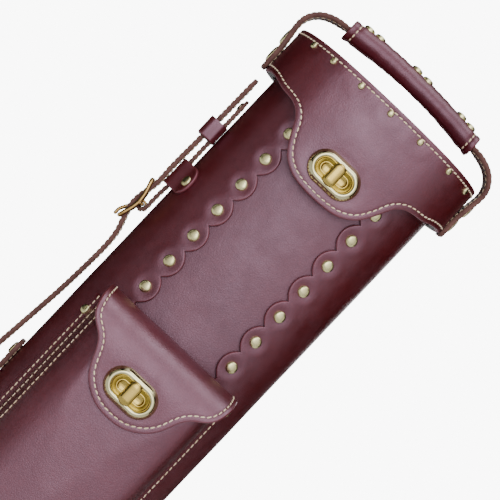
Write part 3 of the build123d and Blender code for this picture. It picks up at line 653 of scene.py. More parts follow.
# ---- Body: panel, scalloped wrap, base ----------------------------------------------------------
def scallop_x(z):
    """The wrap's free edge: its distance from the centre line at each height."""
    z = np.asarray(z, float)
    x = np.full(z.shape, RIVET_X - RIVET_MARGIN)
    radius = ((PITCH / 2) ** 2 + SCALLOP_RISE**2) / (2 * SCALLOP_RISE)
    for top, count in RIVET_ROWS:
        high = top + PITCH / 2
        local = ((high - z) % PITCH) - PITCH / 2
        arc = RIVET_X - RIVET_MARGIN - (np.sqrt(radius**2 - local**2) - (radius - SCALLOP_RISE))
        x = np.where((z < high) & (z > high - count * PITCH), arc, x)
    return x


RIVET_ZS = [top - i * PITCH for top, count in RIVET_ROWS for i in range(count)]
RIVET_A = float(arc_of(RIVET_X))


def dimples(a, b, places, depth=0.95, reach=4.8):
    """Leather drawn in around each rivet, with a low swelling outside it."""
    out = 0 * a
    for ra, rb in places:
        near = (np.abs(a - ra) < 26) & (np.abs(b - rb) < 26)
        r = np.hypot(a[near] - ra, b[near] - rb)
        out[near] += 0.34 * depth * bell(r - 8.5, 3.0) - depth * bell(r, reach)
    return out


def back_wrap():
    step = PITCH / 20
    rows = np.arange(17, -722, -1) * step + (RIVET_ROWS[0][0] + PITCH / 2)
    rows = rows[(rows < BODY_TOP + 0.2) & (rows > BODY_LOW)]
    near = np.array([0, 0.18, 0.42, 0.75, 1.2, 1.8, 2.6, 3.5, 4.5] + list(np.arange(5.6, 27, 1.15)))
    start, fade = 34.0, smooth(rise(near, 2, 14))
    right = arc_of(scallop_x(rows))[:, None] * (1 - fade) + start * fade + near
    last = start + near[-1]
    middle = np.linspace(last, GIRTH - last, 62)[1:-1]
    A = np.concatenate([right, np.repeat(middle[None], len(rows), 0), GIRTH - right[:, ::-1]], 1)
    B = rows[:, None] + 0 * A
    z = rows[::2]
    e = arc_of(scallop_x(z))
    outline = np.concatenate([np.stack([e, z], -1), np.stack([GIRTH - e, z], -1)[::-1]])
    places = [(a, z) for a in (RIVET_A, GIRTH - RIVET_A) for z in RIVET_ZS]
    leather_sheet("back_wrap_leather", ("back_wrap",), wrap_map, A, B, outline, WRAP_THICK, round_r=0.8,
                  uneven=0.10, field=lambda a, b: dimples(a, b, places), body="case_body")


def front_panel():
    A, B = np.meshgrid(np.linspace(-PANEL_HALF, PANEL_HALF, 64), np.linspace(BODY_TOP, BODY_LOW, 400))
    corners = [(-1, BODY_TOP), (1, BODY_TOP), (1, BODY_LOW), (-1, BODY_LOW), (-1, BODY_TOP)]
    outline = np.array([(side * PANEL_HALF, z) for side, z in corners])
    leather_sheet("front_panel_leather", ("front_panel",), wrap_map, A, B, outline, WRAP_THICK,
                  base=-WRAP_THICK, uneven=0.22, seed=2.0, material=PANEL_LEATHER, body="case_body")


def case_rivets():
    for name, sign in (("left", -1), ("right", 1)):
        places = [spot(wrap_map, sign * RIVET_A, z, -0.45) for z in RIVET_ZS]
        caps(f"domed_rivets_{name}", f"wrap_rivets_{name}", places, 4.1, 2.1, "case_body")


def base():
    sewn_z, tack_z, tack_count = BAND_TOP - 3.5, 34.0, 7
    A, B = np.meshgrid(np.linspace(0, GIRTH, 181)[:-1], BAND_TOP - graded(36))
    outline = level_line(-10, GIRTH + 10, BAND_TOP, 2)
    groove = level_line(-10, GIRTH + 10, sewn_z, 2)
    leather_sheet("base_band_leather", ("base_band",), wrap_map, A, B, outline, 2.9, base=BAND_OUT, closed=True,
                  grooves=[(groove, 0.25)], body="case_body")
    line = level_line(0, GIRTH, sewn_z, 400)
    stitches("base_band_stitches", [on(wrap_map, line, BAND_OUT)], "case_body")
    tack_xs = [(HALF_WIDTH + BAND_OUT) * math.sin(math.radians(-66 + 22 * i)) for i in range(tack_count)]
    tacks = [spot(wrap_map, arc_of(x, BAND_OUT), tack_z, BAND_OUT) for x in tack_xs]
    caps("base_band_tacks", "base_tacks", tacks, 2.6, 1.6, "case_body")
    oval_plate("base_leather_sheet", "base_leather", 0.2, FOOT, FOOT + 2, -1, "case_body")


def oval_plate(name, node, off, low, high, face, body, crown=0.0):
    """A flat leather plate with the case's oval outline, rounded at the rim of its shown face."""
    edge_r = 0.8
    insets = [0, 0.15, 0.4, 0.8, 1.4, 2.2, 3.2, 4.4] + list(np.arange(6, off + 42, 2.4))
    cols = np.linspace(0, GIRTH, 181)[:-1]
    n = len(cols)
    top, bottom = (high, low) if face > 0 else (low, high)
    x, y, _, _ = oval(cols, off)
    rings = [np.stack([x, y, 0 * x + bottom], -1)]
    for step in insets:
        x, y, _, _ = oval(cols, off - step)
        drop = edge_r - math.sqrt(max(edge_r**2 - max(edge_r - step, 0) ** 2, 0))
        z = top - face * drop + face * crown * min(1.0, step / 22) ** 0.8
        p = np.stack([x, y, 0 * x + z], -1)
        p[:, 2] += 0.10 * wobble(p, 16.0, 3.0) * min(1.0, step / 5)
        rings.append(p)
    faces = ring_faces(len(rings), n) + end_caps(len(rings), n)
    if face < 0:
        faces = [tuple(reversed(f)) for f in faces]
    edge = np.concatenate([np.full(n, math.exp(-step / 0.55)) for step in [0] + insets])
    attrs = {"edge": edge, "under": 0 * edge}
    return new_mesh(name, np.concatenate(rings), faces, LEATHER, (node,), body, attrs)


# ---- Lid ----------------------------------------------------------------------------------------
TONGUE = spline([(0, 777.6), (9, 778.0), (17, 779.2), (24.5, 782.2), (31, 787.2), (35.4, 793.4),
                 (39.4, 800.8), (43.8, 808.6), (50.2, 813.4), (57, 815.0), (63, 816.2), (69, 818.6),
                 (75, LID_RIM)], 300)
TONGUE_END = TONGUE[-1, 0]
TACK_XS = (-65.5, -49.5, -26.0, -0.6, 25.5, 52.0, 70.0)


def tongue_z(a):
    """The lid's lower edge: the tongue's curve in front, the rim elsewhere."""
    x, _, _, _ = oval(a, LID_OUT)
    front = np.abs((np.asarray(a) + GIRTH / 2) % GIRTH - GIRTH / 2) < float(arc_of(TONGUE_END, LID_OUT))
    return np.where(front, np.interp(np.abs(x), TONGUE[:, 0], TONGUE[:, 1]), LID_RIM)


def lock_dent(a, b, z):
    """Leather pressed in around a turn lock at height z."""
    return 0.35 * bell(np.hypot(a / 1.5, b - z) - 12.5, 2.5)


def lid_grid():
    """The lid's leather as a grid, fine in front and along the tongue's edge."""
    fine_to, step, margin = 80, 1.1, EDGE_STEPS[-1]
    front = np.arange(-fine_to, fine_to + 0.1, step)
    cols = np.concatenate([front, np.linspace(fine_to, GIRTH - fine_to, 58)[1:-1]])
    bottom = tongue_z(cols)
    upper = np.concatenate([EDGE_STEPS, np.arange(7, 30.1, 1.6)])
    low_start = CASE_TOP - upper[-1]
    rows = [CASE_TOP - u + 0 * cols for u in upper]
    rows += [low_start + (bottom + margin - low_start) * f for f in np.linspace(0, 1, 26)[1:-1]]
    rows += [bottom + v for v in EDGE_STEPS[::-1]]
    B = np.stack(rows)
    return cols[None] + 0 * B, B


def lid_leather():
    edge_a = np.linspace(-95, 95, 420)
    edge = np.stack([edge_a, tongue_z(edge_a)], -1)
    rim = np.array([(GIRTH, CASE_TOP), (-100, CASE_TOP)])
    far = level_line(95, GIRTH - 80, LID_RIM, 2)
    outline = np.concatenate([rim, edge, far])
    sew_end, sew_z = 86, CASE_TOP - SEAM
    sew_low = inset(even(edge, 420), SEAM, (0, 840))
    sew_low = sew_low[np.abs(sew_low[:, 0]) < sew_end]
    sew_top = level_line(-100, GIRTH, sew_z, 2)
    tacks = [(float(arc_of(x, LID_OUT)), CASE_TOP - 5.8) for x in TACK_XS]

    def swell(a, b):
        fold = 0.5 * bell(b - 822, 10) * (np.abs(a) < 90)
        return dimples(a, b, tacks, 0.45, 2.6) + fold - lock_dent(a, b, LID_LOCK_Z) * (np.abs(a) < 40)

    A, B = lid_grid()
    obj = leather_sheet("lid_leather_and_tongue", ("lid_band", "lid_tongue"), wrap_map, A, B, outline, 3.0,
                        base=LID_OUT, closed=True, field=swell, grooves=[(sew_low, GROOVE), (sew_top, GROOVE)],
                        round_r=1.1, uneven=0.16, seed=4.0)
    sewn = stitches("tongue_stitches", [on(wrap_map, sew_low, LID_OUT, swell)])
    for piece in (obj, sewn):
        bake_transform(piece)
    around = level_line(0, GIRTH, sew_z, 500)
    back = level_line(sew_end, GIRTH - sew_end, LID_RIM + SEAM, 260)
    lines = [on(wrap_map, line, LID_OUT) for line in (around, back)]
    stitches("lid_edge_stitches", lines, "lid")
    places = [spot(wrap_map, a, z, LID_OUT - 0.25) for a, z in tacks]
    caps("lid_edge_tacks", "lid_tacks", places, 2.3, 1.7, "lid")


def lid_top():
    oval_plate("lid_top_leather", "lid_top", LID_OUT - 2.9, CASE_TOP - 3, CASE_TOP - 1.2, 1, "lid", crown=1.6)


def hinge_map(a, b, off):
    """Domain onto the back hinge, which rises from the body's wrap to the lid's band."""
    on_body, on_lid = 2.6, LID_OUT + 2.5
    height = on_body + (on_lid - on_body) * smooth(rise(np.asarray(b, float), 774, 39))
    return wrap_map(a, b, np.asarray(off) + height)


def hinge():
    middle, half_width = GIRTH / 2, 31
    A, B, outline = rounded_grid(middle - half_width, middle + half_width, 770, 851, 7)
    sew = inset(even(outline, 400), 3.4, (middle, 810))
    obj = leather_sheet("back_hinge_leather", ("hinge_upper_leaf", "hinge_lower_leaf", "hinge_pad"), hinge_map,
                        A, B, outline, 2.4, grooves=[(sew, 0.22)], seed=5.0)
    sewn = stitches("back_hinge_stitches", [on(hinge_map, sew, 0.0)])
    for piece in (obj, sewn):
        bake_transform(piece)
    for name, z, body in (("upper", 838.0, "lid"), ("lower", 794.0, "case_body")):
        a = middle + np.array([-21, -7, 7, 21], float)
        sunk = np.full(4, -0.1)
        pos, nor = hinge_map(a, np.full(4, z), sunk)
        ahead, _ = hinge_map(a, np.full(4, z + 1.0), sunk)
        tilt = ahead - pos
        nor = nor - tilt * (np.sum(nor * tilt, -1) / np.sum(tilt * tilt, -1))[:, None]
        caps(f"hinge_{name}_rivet_caps", f"hinge_{name}_rivets", list(zip(pos, nor)), 4.1, 1.9, body)


# ---- Turn locks ---------------------------------------------------------------------------------
# Sections of the lock's pieces, as (radius, height above the leather).
LOCK_RING = [(6.35, 0.3), (6.4, 1.4), (6.55, 2.2), (6.7, 2.9), (6.95, 3.5), (7.3, 3.9), (7.8, 4.1),
             (8.4, 4.1), (9.0, 3.95), (9.4, 3.7), (9.8, 3.3), (10.2, 2.75), (10.7, 2.0), (11.2, 1.25),
             (11.6, 0.65), (11.8, 0.3), (11.8, -0.3)]
LOCK_WELL = [(6.6, -0.25), (6.6, 0.55), (6.2, 0.8), (4.6, 0.8), (4.3, 1.5), (3.9, 1.8), (3.3, 1.8),
             (2.9, 1.3), (2.4, 0.9), (0.3, 0.9)]
LOCK_KNOB = [(1.2, 0.9), (2.6, 1.0), (2.6, 3.9), (3.7, 4.4), (4.35, 4.9), (4.5, 5.6), (4.3, 6.5), (3.7, 7.2),
             (2.6, 7.6), (1.3, 7.8), (0.2, 7.85)]


def stadium_shell(name, node, levels, straight, at, material, body, close=True, upright=False, waist=0.0):
    """Stacked stadium sections facing the front, around a core line of half length straight."""
    angles = np.concatenate([np.linspace(-90, 90, 25), np.linspace(90, 270, 25)])
    shift = np.concatenate([np.full(25, straight), np.full(25, -straight)])
    c, s = np.cos(np.radians(angles)), np.sin(np.radians(angles))
    right, up, out = np.array([1.0, 0, 0]), np.array([0, 0, 1.0]), np.array([0, -1.0, 0])
    if upright:
        right, up = up, -right
    verts = []
    for radius, height in levels:
        u = shift + radius * c
        w = radius * s * (1 - waist * bell(u, 2.6))
        verts.append(at + u[:, None] * right + w[:, None] * up + height * out)
    n = len(angles)
    faces = ring_faces(len(levels), n) + (end_caps(len(levels), n) if close else [])
    new_mesh(name, np.concatenate(verts), faces, material, (node,), body)


def turn_lock(prefix, y, z, body, knob_body):
    at = np.array([0, y, z])
    stadium_shell(f"{prefix}_lock_ring", f"{prefix}_lock_plate", LOCK_RING, 7.2, at, BRASS, body, close=False)
    stadium_shell(f"{prefix}_lock_well", f"{prefix}_lock_cup", LOCK_WELL, 6.8, at, GOLD_BRASS, body)
    stadium_shell(f"{prefix}_lock_knob_cap", f"{prefix}_lock_knob", LOCK_KNOB, 4.0, at, GOLD_BRASS, knob_body,
                  upright=True, waist=0.34)


# ---- Pouch --------------------------------------------------------------------------------------
# Rings from the flange to the front's middle: half width, depth, corner radius and bottom height.
# The first two lie on the case's wrap, so their depth is not used.
POUCH_RINGS = [(57.0, -44.5, 17, 387.2), (52.4, -44.5, 16, 391.6), (51.0, -50, 16, 393.0),
               (49.6, -60, 16, 394.6), (48.4, -70, 16, 396.2), (46.9, -76.0, 16, 397.9),
               (44.6, -79.9, 15.5, 400.4), (41.2, -82.4, 15, 404.0), (36, -84.3, 14, 409.4),
               (28, -86.0, 12, 417.5), (18, -87.3, 9, 428), (8, -87.9, 6, 438), (1.2, -88.0, 1.1, 445)]
POUCH_STEPS = (6, 6, 6, 6, 6, 6, 6, 6, 4, 4, 4, 4)
FLAP_EDGE = spline([(0, 592.3), (9, 593.2), (17.5, 596.6), (25, 602.2), (30.5, 610), (34.8, 620), (40, 626.6),
                    (46.5, 631.4), (51.2, 637.6), (FLAP_HALF, 648)], 240)


def u_path(half, bottom, top, corner):
    """A U in front view, from its upper left end round to its upper right end."""
    corner = min(corner, half * 0.98)
    t = np.linspace(0, math.pi / 2, 14)
    left = np.array([(-half, z) for z in np.linspace(top, bottom + corner, 60)])
    bend = np.stack([-half + corner - corner * np.cos(t), bottom + corner - corner * np.sin(t)], -1)
    floor = level_line(-half + corner, 0, bottom, 12)
    path = np.concatenate([left, bend[1:], floor[1:]])
    other = path[::-1] * np.array([-1, 1])
    return np.concatenate([path, other[other[:, 0] > 1e-6]])


def pouch_rings(levels):
    """The pouch's rings at each level: flat on the wrap, up the gusset and over the crowned front."""
    section = np.array(POUCH_RINGS, float).T
    first_depth = section[1, 2]
    param = np.arange(len(POUCH_RINGS), dtype=float)
    rings = []
    for t in levels:
        half, depth, corner, bottom = (np.interp(t, param, values) for values in section)
        path = u_path(half, bottom, POUCH_TOP, corner)
        on_wrap = wrap_map(arc_of(path[:, 0]), path[:, 1], 1.9 + 0 * path[:, 0])[0][:, 1]
        if t <= 1:
            y = on_wrap
        elif t < 2:
            y = np.minimum(on_wrap * (2 - t) + first_depth * (t - 1), on_wrap)
        else:
            y = np.minimum(depth, on_wrap)
        rings.append(np.stack([path[:, 0], y, path[:, 1]], -1))
    P = np.stack(rings)
    away_from_root = np.abs(np.arange(len(P)) - POUCH_STEPS[0]) > 2
    for _ in range(3):
        eased = P.copy()
        eased[2:-1] = 0.25 * P[1:-2] + 0.5 * P[2:-1] + 0.25 * P[3:]
        P[away_from_root] = eased[away_from_root]
    return P


def soften_pouch(flat, level):
    """Sag, upright folds and a slack left side, held back where the flap lies."""
    sag = wobble(flat, 30.0, 7.0) * 0.55 + wobble(flat, 11.0, 9.0) * 0.14
    flat[:, 1] -= sag * rise(level, 4, 3) * rise(flat[:, 2], 396, 20)
    below_flap = np.clip((POUCH_TOP - 30 - flat[:, 2]) / 40, 0, 1)
    folds = wobble(flat * np.array([1.0, 1.0, 0.14]), 15.0, 21.0)
    flat[:, 1] -= 0.9 * folds * below_flap * rise(level, 4, 4) * rise(flat[:, 2], 400, 60)
    slack = np.clip(-flat[:, 0] - 22, 0, 25)
    flat[:, 1] += 0.012 * slack**2 * rise(level, 2, 3) * rise(flat[:, 2], 395, 60)
    room = np.interp(flat[:, 2], [430, 590, 622, 634, 640], [-91, -85.8, -84.8, -82.0, -79.0])
    flat[:, 1] = np.maximum(flat[:, 1], room)
    flat[:, 0] += 0.5 * wobble(flat, 21.0, 3.0) * np.clip(1 - np.abs(level - 3.4) / 2.2, 0, 1)


def pouch_faces(rings, n):
    """Quads between the rings, and a cap that joins the two halves of the last ring."""
    faces = [(i * n + j, i * n + j + 1, (i + 1) * n + j + 1, (i + 1) * n + j)
             for i in range(rings - 1) for j in range(n - 1)]
    last, middle = (rings - 1) * n, n // 2
    faces += [(last + j, last + j + 1, last + n - 2 - j, last + n - 1 - j) for j in range(middle - 1)]
    return faces + [(last + middle - 1, last + middle, last + middle + 1)]


def pouch_box():
    levels = np.array([i + k / steps for i, steps in enumerate(POUCH_STEPS) for k in range(steps)]
                      + [len(POUCH_STEPS)])
    P = pouch_rings(levels)
    n = P.shape[1]
    flat, level = P.reshape(-1, 3), np.repeat(levels, n)
    soften_pouch(flat, level)
    edge = np.clip(1 - level / 0.18, 0, 1) * 0.9
    nodes = ("pouch_front", "pouch_gusset", "pouch_back")
    obj = new_mesh("pouch_body_leather", flat, pouch_faces(len(P), n), LEATHER, nodes, "case_body",
                   {"edge": edge, "under": 0 * edge})
    thick = obj.modifiers.new("thickness", "SOLIDIFY")
    thick.thickness, thick.offset = 1.8 * MM, -1

    def ring_line(t, right_end=math.inf):
        """The ring nearest to level t, with outward normals, up to right_end."""
        index = int(np.argmin(np.abs(levels - t)))
        nor = np.cross(np.gradient(P[index], axis=0), P[index + 1] - P[index - 1])
        nor /= np.linalg.norm(nor, axis=1, keepdims=True)
        nor *= np.where(nor[:, 1] > 0, -1, 1)[:, None]
        keep = P[index][:, 0] < right_end
        return P[index][keep], nor[keep]

    stitches("pouch_stitches", [ring_line(0.5), ring_line(2.0, 30), ring_line(4.67, 30)], "case_body")
    corners = ((-1, POUCH_TOP - 13), (-1, 404.0), (1, POUCH_TOP + 1), (1, 404.0))
    places = [spot(wrap_map, sign * arc_of(54.6), z, 1.8) for sign, z in corners]
    caps("pouch_corner_rivets", "pouch_rivets", places, 3.2, 1.6, "case_body")


def pouch_flap():
    path = spline([(-47.4, 651.4), (-56, 652.6), (-65.5, 652.2), (-75.5, 649.3), (-83.0, 643.4),
                   (-87.4, 635.2), (-89.0, 625), (-89.3, 612), (-89.2, 598), (-89.0, 584)], 240)
    fold = PathMap(np.stack([0 * path[:, 0], path[:, 0], path[:, 1]], -1), 1, (1, 0, 0))
    hanging = int(np.argmax((path[:, 1] < 650.9) & (path[:, 0] < -70)))

    def down_to(z):
        """Distance along the flap at which its hanging part reaches height z."""
        return np.interp(-np.asarray(z), -path[hanging:, 1], fold.d[hanging:])

    cols = graded(2 * FLAP_HALF, step=1.3) - FLAP_HALF
    end = down_to(np.interp(np.abs(cols), FLAP_EDGE[:, 0], FLAP_EDGE[:, 1]))
    rows = [(end - EDGE_STEPS[-1]) * f for f in np.linspace(0, 1, 60)[:-1]]
    B = np.stack(rows + [end - v for v in EDGE_STEPS[::-1]])
    A = cols[None] + 0 * B
    right = np.stack([FLAP_EDGE[:, 0], down_to(FLAP_EDGE[:, 1])], -1)
    side = np.stack([np.full(60, FLAP_HALF), np.linspace(-4, right[-1, 1], 60)], -1)[::-1]
    half = np.concatenate([right, side[1:]])
    outline = even(np.concatenate([half[::-1] * np.array([-1, 1]), half[1:]]), 460)
    sew = inset(outline, SEAM, (0, 30))
    sew = sew[sew[:, 1] > 2]
    lock_at = float(down_to(POUCH_LOCK_Z))

    def droop(a, b):
        hang = smooth(rise(b, 20, 55))
        creases = 0.05 * bell(b - 30, 18) * np.sin(a * 0.25 + 1.5 * np.sin(b * 0.09))
        return creases - 1.2 * hang * (np.abs(a) / FLAP_HALF) ** 2 - lock_dent(a, b, lock_at)

    obj = leather_sheet("pouch_flap_leather", ("pouch_flap",), fold, A, B, outline, 2.4, field=droop,
                        grooves=[(sew, GROOVE)], round_r=1.0, uneven=0.2, seed=6.0)
    sewn = stitches("flap_stitches", [on(fold, sew, 0.0, droop)])
    for piece in (obj, sewn):
        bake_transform(piece)


# ---- Handles and straps -------------------------------------------------------------------------
def strap(name, nodes, path, width, thick, across=(0, 1, 0), side=-1, ends=(True, True), sew=True, body=None,
          corner=5.0, material=None, seed=8.0, trim=None):
    """A leather strap along a path, sewn on both faces. Returns the strap and its stitches."""
    band = PathMap(path, side, across)
    A, B, outline = rounded_grid(-width / 2, width / 2, 0, band.length, corner, 1.6, 2.4, ends)
    if trim is not None:
        A = A * trim(B)
        outline = even(outline, 400)
        outline = outline * np.stack([trim(outline[:, 1]), np.ones(len(outline))], -1)
    pieces = [leather_sheet(name, nodes, band, A, B, outline, thick, base=thick / 2, body=body,
                            material=material or STRAP_LEATHER, seed=seed, uneven=0.14)]
    if sew:
        seam_in, end_gap = 2.6, 4
        b = np.linspace(end_gap * ends[0], band.length - end_gap * ends[1], 300)
        lines = []
        for sign in (-1, 1):
            a = sign * (width / 2 - seam_in) * (trim(b) if trim is not None else 1.0) + 0 * b
            lines.append(band(a, b, thick / 2 + 0 * b))
            pos, nor = band(a, b, -thick / 2 + 0 * b)
            lines.append((pos, -nor))
        pieces.append(stitches(name + "_stitches", lines, body))
    return pieces


def top_handle():
    foot_z = 819.5
    side_x = HALF_WIDTH + LID_OUT + 1.85
    right = [(side_x, foot_z), (side_x, 836), (82.0, 849), (82.4, 861), (77.5, 869.5), (69, 874.5),
             (56.5, 877), (28, 880.2)]
    points = [(-x, z) for x, z in right] + [(0, 881.2)] + list(reversed(right))
    path = xz(points, 420)
    length = length_of(path)

    def narrow(b):
        """The strap's width factor: full at the sides, narrower inside the grip."""
        return 1 - 0.42 * smooth(rise(np.minimum(b, length - b), 66, 8))

    strap("top_handle_strap", ("handle_strap",), path, 19.0, 3.4, side=1, body="lid", trim=narrow, corner=4.0)
    rivets = []
    for sign in (-1, 1):
        for z in (831.0, 845.5):
            x = np.interp(z, [z for _, z in right[:4]], [x for x, _ in right[:4]]) + 1.5
            rivets.append(((sign * x, 0, z), (sign, 0, 0)))
    caps("handle_side_rivets", "handle_rivets", rivets, 6.5, 1.9, "lid")


def rolled_grip():
    centre = xz([(-56.5, 877), (-28, 880.2), (0, 881.2), (28, 880.2), (56.5, 877)], 120)
    length = length_of(centre)
    d = np.linspace(0, length, len(centre))
    radius, end_seam = 8.3, 5.2
    half = radius * math.radians(158)

    def grip_map(a, b, off):
        """Domain (around, along) onto the grip."""
        b = np.asarray(b, float)
        pos = np.stack([np.interp(b, d, centre[:, c]) for c in range(3)], -1)
        angle = np.asarray(a) / radius
        nor = np.stack([0 * b, -np.sin(angle), np.cos(angle)], -1)
        return pos + nor * (radius + np.asarray(off))[..., None], nor

    def roll(a, b):
        """Pinched end seams, creases, a slight waist, and edges that turn in underneath."""
        end, angle = np.minimum(b, length - b), a / radius
        folds = 0.16 * np.sin(b * 0.62 + 2.2 * np.sin(b * 0.17) + 1.5 * angle) * np.clip(end / 14, 0, 1)
        return (folds - 0.7 * bell(end - end_seam, 1.6) - 0.55 * np.sin(math.pi * b / length)
                - 0.5 * np.clip(np.abs(angle) - 2.3, 0, 1) + 0.25 * np.sin(angle * 2 + b * 0.05))

    A, B, outline = rounded_grid(-half, half, 0, length, 1.5, 1.5, 1.6)
    leather_sheet("handle_grip_leather", ("handle_grip",), grip_map, A, B, outline, 1.8, field=roll, body="lid",
                  material=GRIP_LEATHER, seed=11.0, uneven=0.25)
    around = np.linspace(-half + 1, half - 1, 120)
    seams = [np.stack([around, np.full(120, b)], -1) for b in (end_seam, length - end_seam)]
    rings = [on(grip_map, line, 0.0, roll) for line in seams]
    stitches("grip_end_stitches", rings, "lid", pitch=3.6, size=(2.6, 1.1, 0.85))
    core, sides = [], 24
    for k, p in enumerate(centre[2:-2:3]):
        r = 5.6 + 0.25 * math.sin(k * 1.9)
        core += [p + np.array([0, -r * math.sin(t), r * math.cos(t)]) for t in circle(sides)]
    rows = len(core) // sides
    faces = ring_faces(rows, sides) + end_caps(rows, sides)
    new_mesh("grip_core", core, faces, VELOUR, body="lid")
    studs = []
    for x in (-46, -37, -5, 5, 37, 46):
        b = float(np.interp(x, centre[:, 0], d))
        studs.append(spot(grip_map, 0, b, roll(0.0, b) - 0.2))
    caps("grip_rivet_caps", "grip_rivets", studs, 4.1, 2.0, "lid")


def shoulder_strap():
    bx, bz = BAR
    upper = [(-77.2, 811), (-77.4, 790), (-77.8, 767), (-78.4, 745), (-78.6, 728), (-78.5, 716.5),
             (bx - 5.3, bz), (-78.5, 685), (-76.0, 677), (-75.0, 670)]
    middle = [(-75.0, 650), (-76.4, 624), (-79.0, 596), (-81.6, 570), (-88.5, 510), (-94.5, 440)]
    lower = [(-96.0, 380), (-92.0, 300), (-82.0, 225), (-75.6, 190), (-72.6, 172), (-70.7, 160), (-70.7, 140),
             (-70.7, 118)]
    whole = xz(upper + middle + lower, 900)
    cut = int(np.argmin(np.abs(whole[:, 2] - 430)))
    width, thick = 23.5, 3.0
    above = strap("shoulder_strap_upper", ("strap_upper", "shoulder_strap"), whole[: cut + 1], width, thick,
                  ends=(True, False), seed=12.0)
    below = strap("shoulder_strap_lower", ("strap_lower",), whole[cut:], width, thick, ends=(False, True),
                  seed=13.0)
    for p in above:
        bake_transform(p)
    for p in below:
        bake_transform(p)


def buckle_chape():
    """The short strap that folds round the buckle's bar, and its rivet."""
    bx, bz = BAR
    path = xz([(CHAPE_X, 797), (CHAPE_X, 770), (CHAPE_X, 745), (CHAPE_X, 722), (-72.6, 712),
               (bx + 3.4, bz + 2.2), (bx + 2.0, bz - 2.8), (bx - 2.2, bz - 2.4), (bx - 2.6, bz + 1.8)], 300)
    strap("buckle_chape_leather", ("buckle_chape",), path, 21.5, 2.3, body="case_body", ends=(True, False),
          corner=8.0, seed=14.0)
    caps("chape_rivet_cap", "chape_rivet", [((CHAPE_X - 1.0, 0, 791), (-1, 0, 0))], 3.5, 1.6, "case_body")


def buckle():
    bx, bz = BAR
    side = [(-82.0, 14.4, 685.0), (-79.2, 14.9, 694.0), (-78.2, 15.0, 700.0), (-79.2, 14.9, 707.5),
            (-82.0, 14.4, 716.5)]
    other = [(x, -y, z) for x, y, z in reversed(side)]
    loop = side + [(-82.0, 0, 716.5)] + other + [(-82.0, 0, 685.0)]
    parts = [rod(softened(loop, 12, 10, closed=True), 1.45, closed=True),
             rod(np.stack([np.full(40, bx), np.linspace(-14.6, 14.6, 40), np.full(40, bz)], -1), 1.4)]
    parts += [rod(softened([(bx, y, bz), (bx - 3.0, y * 1.02, bz + 0.1)], 14, 2), 1.7) for y in (-14.4, 14.4)]
    # The frame and the prong take the darker brass, which paints in the buckle's shade.
    joined("buckle_frame_ring", "buckle_frame", parts, SHADED_BRASS, "case_body")
    eye_r = 2.4
    eye = np.array([(bx + eye_r * math.cos(t), 0, bz + eye_r * math.sin(t)) for t in circle(32)])
    arm = [(bx - 2.0, 0, bz - 1.6), (bx - 6.2, 0, bz - 6.8), (bx - 9.2, 0, bz - 12.5), (-85.2, 0, 682.8)]
    parts = [rod(eye, 0.85, closed=True), rod(softened(arm, 14, 14), 1.25)]
    joined("buckle_prong_rod", "buckle_prong", parts, SHADED_BRASS, "prong")


def strap_keeper():
    """The loop that slides along the strap."""
    outer, inner, half_width, height = -81.8, -69.85, 14.1, 14.0
    half = [(outer, 11.5), (-79.5, half_width), (-72.5, half_width), (inner, 11.5)]
    loop = [(outer, 0)] + half + [(inner, 0)] + [(x, -y) for x, y in reversed(half)] + [(outer, 0)]
    ring = even(softened(loop, 7, 0), 160)
    path = np.stack([ring[:, 0], ring[:, 1], np.full(len(ring), 767.0)], -1)
    for _ in range(2):
        path[1:-1] = 0.25 * path[:-2] + 0.5 * path[1:-1] + 0.25 * path[2:]
    band = PathMap(path, -1, (0, 0, 1), closed=True)
    rows = graded(height, step=1.6) - height / 2
    A, B = np.meshgrid(rows, np.linspace(0, band.length, 161)[:-1], indexing="ij")
    low_edge = np.array([(-height / 2, -50), (-height / 2, 300)])
    leather_sheet("strap_keeper_loop", ("strap_keeper",), band, A, B, low_edge, 1.5, base=0.7, closed=True,
                  body="keeper", seed=15.0)


def side_handle():
    middle_z = 475
    upper = [(-70.9, 582), (-70.9, 571), (-70.9, 560), (-75.2, 540), (-80.6, 510), (-82.4, middle_z)]
    points = upper + [(x, 2 * middle_z - z) for x, z in reversed(upper[:-1])]
    strap("side_handle_leather", ("side_handle",), xz(points, 300), 21.5, 3.2, body="case_body", corner=8.0,
          seed=17.0)
    places = [((-72.4, y, z), (-1, 0, 0)) for z in (573.5, 376.5) for y in (-5.2, 5.2)]
    caps("side_handle_rivet_caps", "side_handle_rivets", places, 4.1, 1.9, "case_body")


def anchor(which, z, strap_x):
    """A leather band over the strap, riveted down in front and behind."""
    def side_point(y, off):
        return -(SIDE_X + math.sqrt((SIDE_R + off) ** 2 - y**2)), y

    front = [side_point(y, 1.2) for y in (-27, -23, -19)]
    over = [(strap_x - 1.2, y) for y in (-12.0, 0.0, 12.0)]
    back = [side_point(y, 1.2) for y in (19, 23, 27)]
    line = spline(front + over + back, 200)
    path = np.stack([line[:, 0], line[:, 1], np.full(len(line), z)], -1)
    strap(f"{which}_anchor_leather", (f"{which}_anchor_band",), path, 21.0, 2.3, across=(0, 0, 1), sew=False,
          body="case_body", corner=9.0, seed=16.0 + z / 100, material=LEATHER)
    places = []
    for y in (-22.9, 22.9):
        x, _ = side_point(y, 2.3)
        places.append(((x, y, z), (x + SIDE_X, y, 0)))
    caps(f"{which}_anchor_rivet_caps", f"{which}_anchor_rivets", places, 4.0, 1.8, "case_body")


# ---- Finishes on the CAD parts that stay --------------------------------------------------------
def finish_cad():
    table = {"board": BOARD, "lining": VELOUR, "tube": TUBE, "foam": FOAM, "rubber": RUBBER, "brass": BRASS,
             "leather": LEATHER, "leather_light": STRAP_LEATHER}
    slots = {s["node"]: s["material_slot"] for s in frame["record"]["subparts"]}
    for name, obj in frame["nodes"].items():
        obj.data.materials.clear()
        obj.data.materials.append(table[slots[name]])


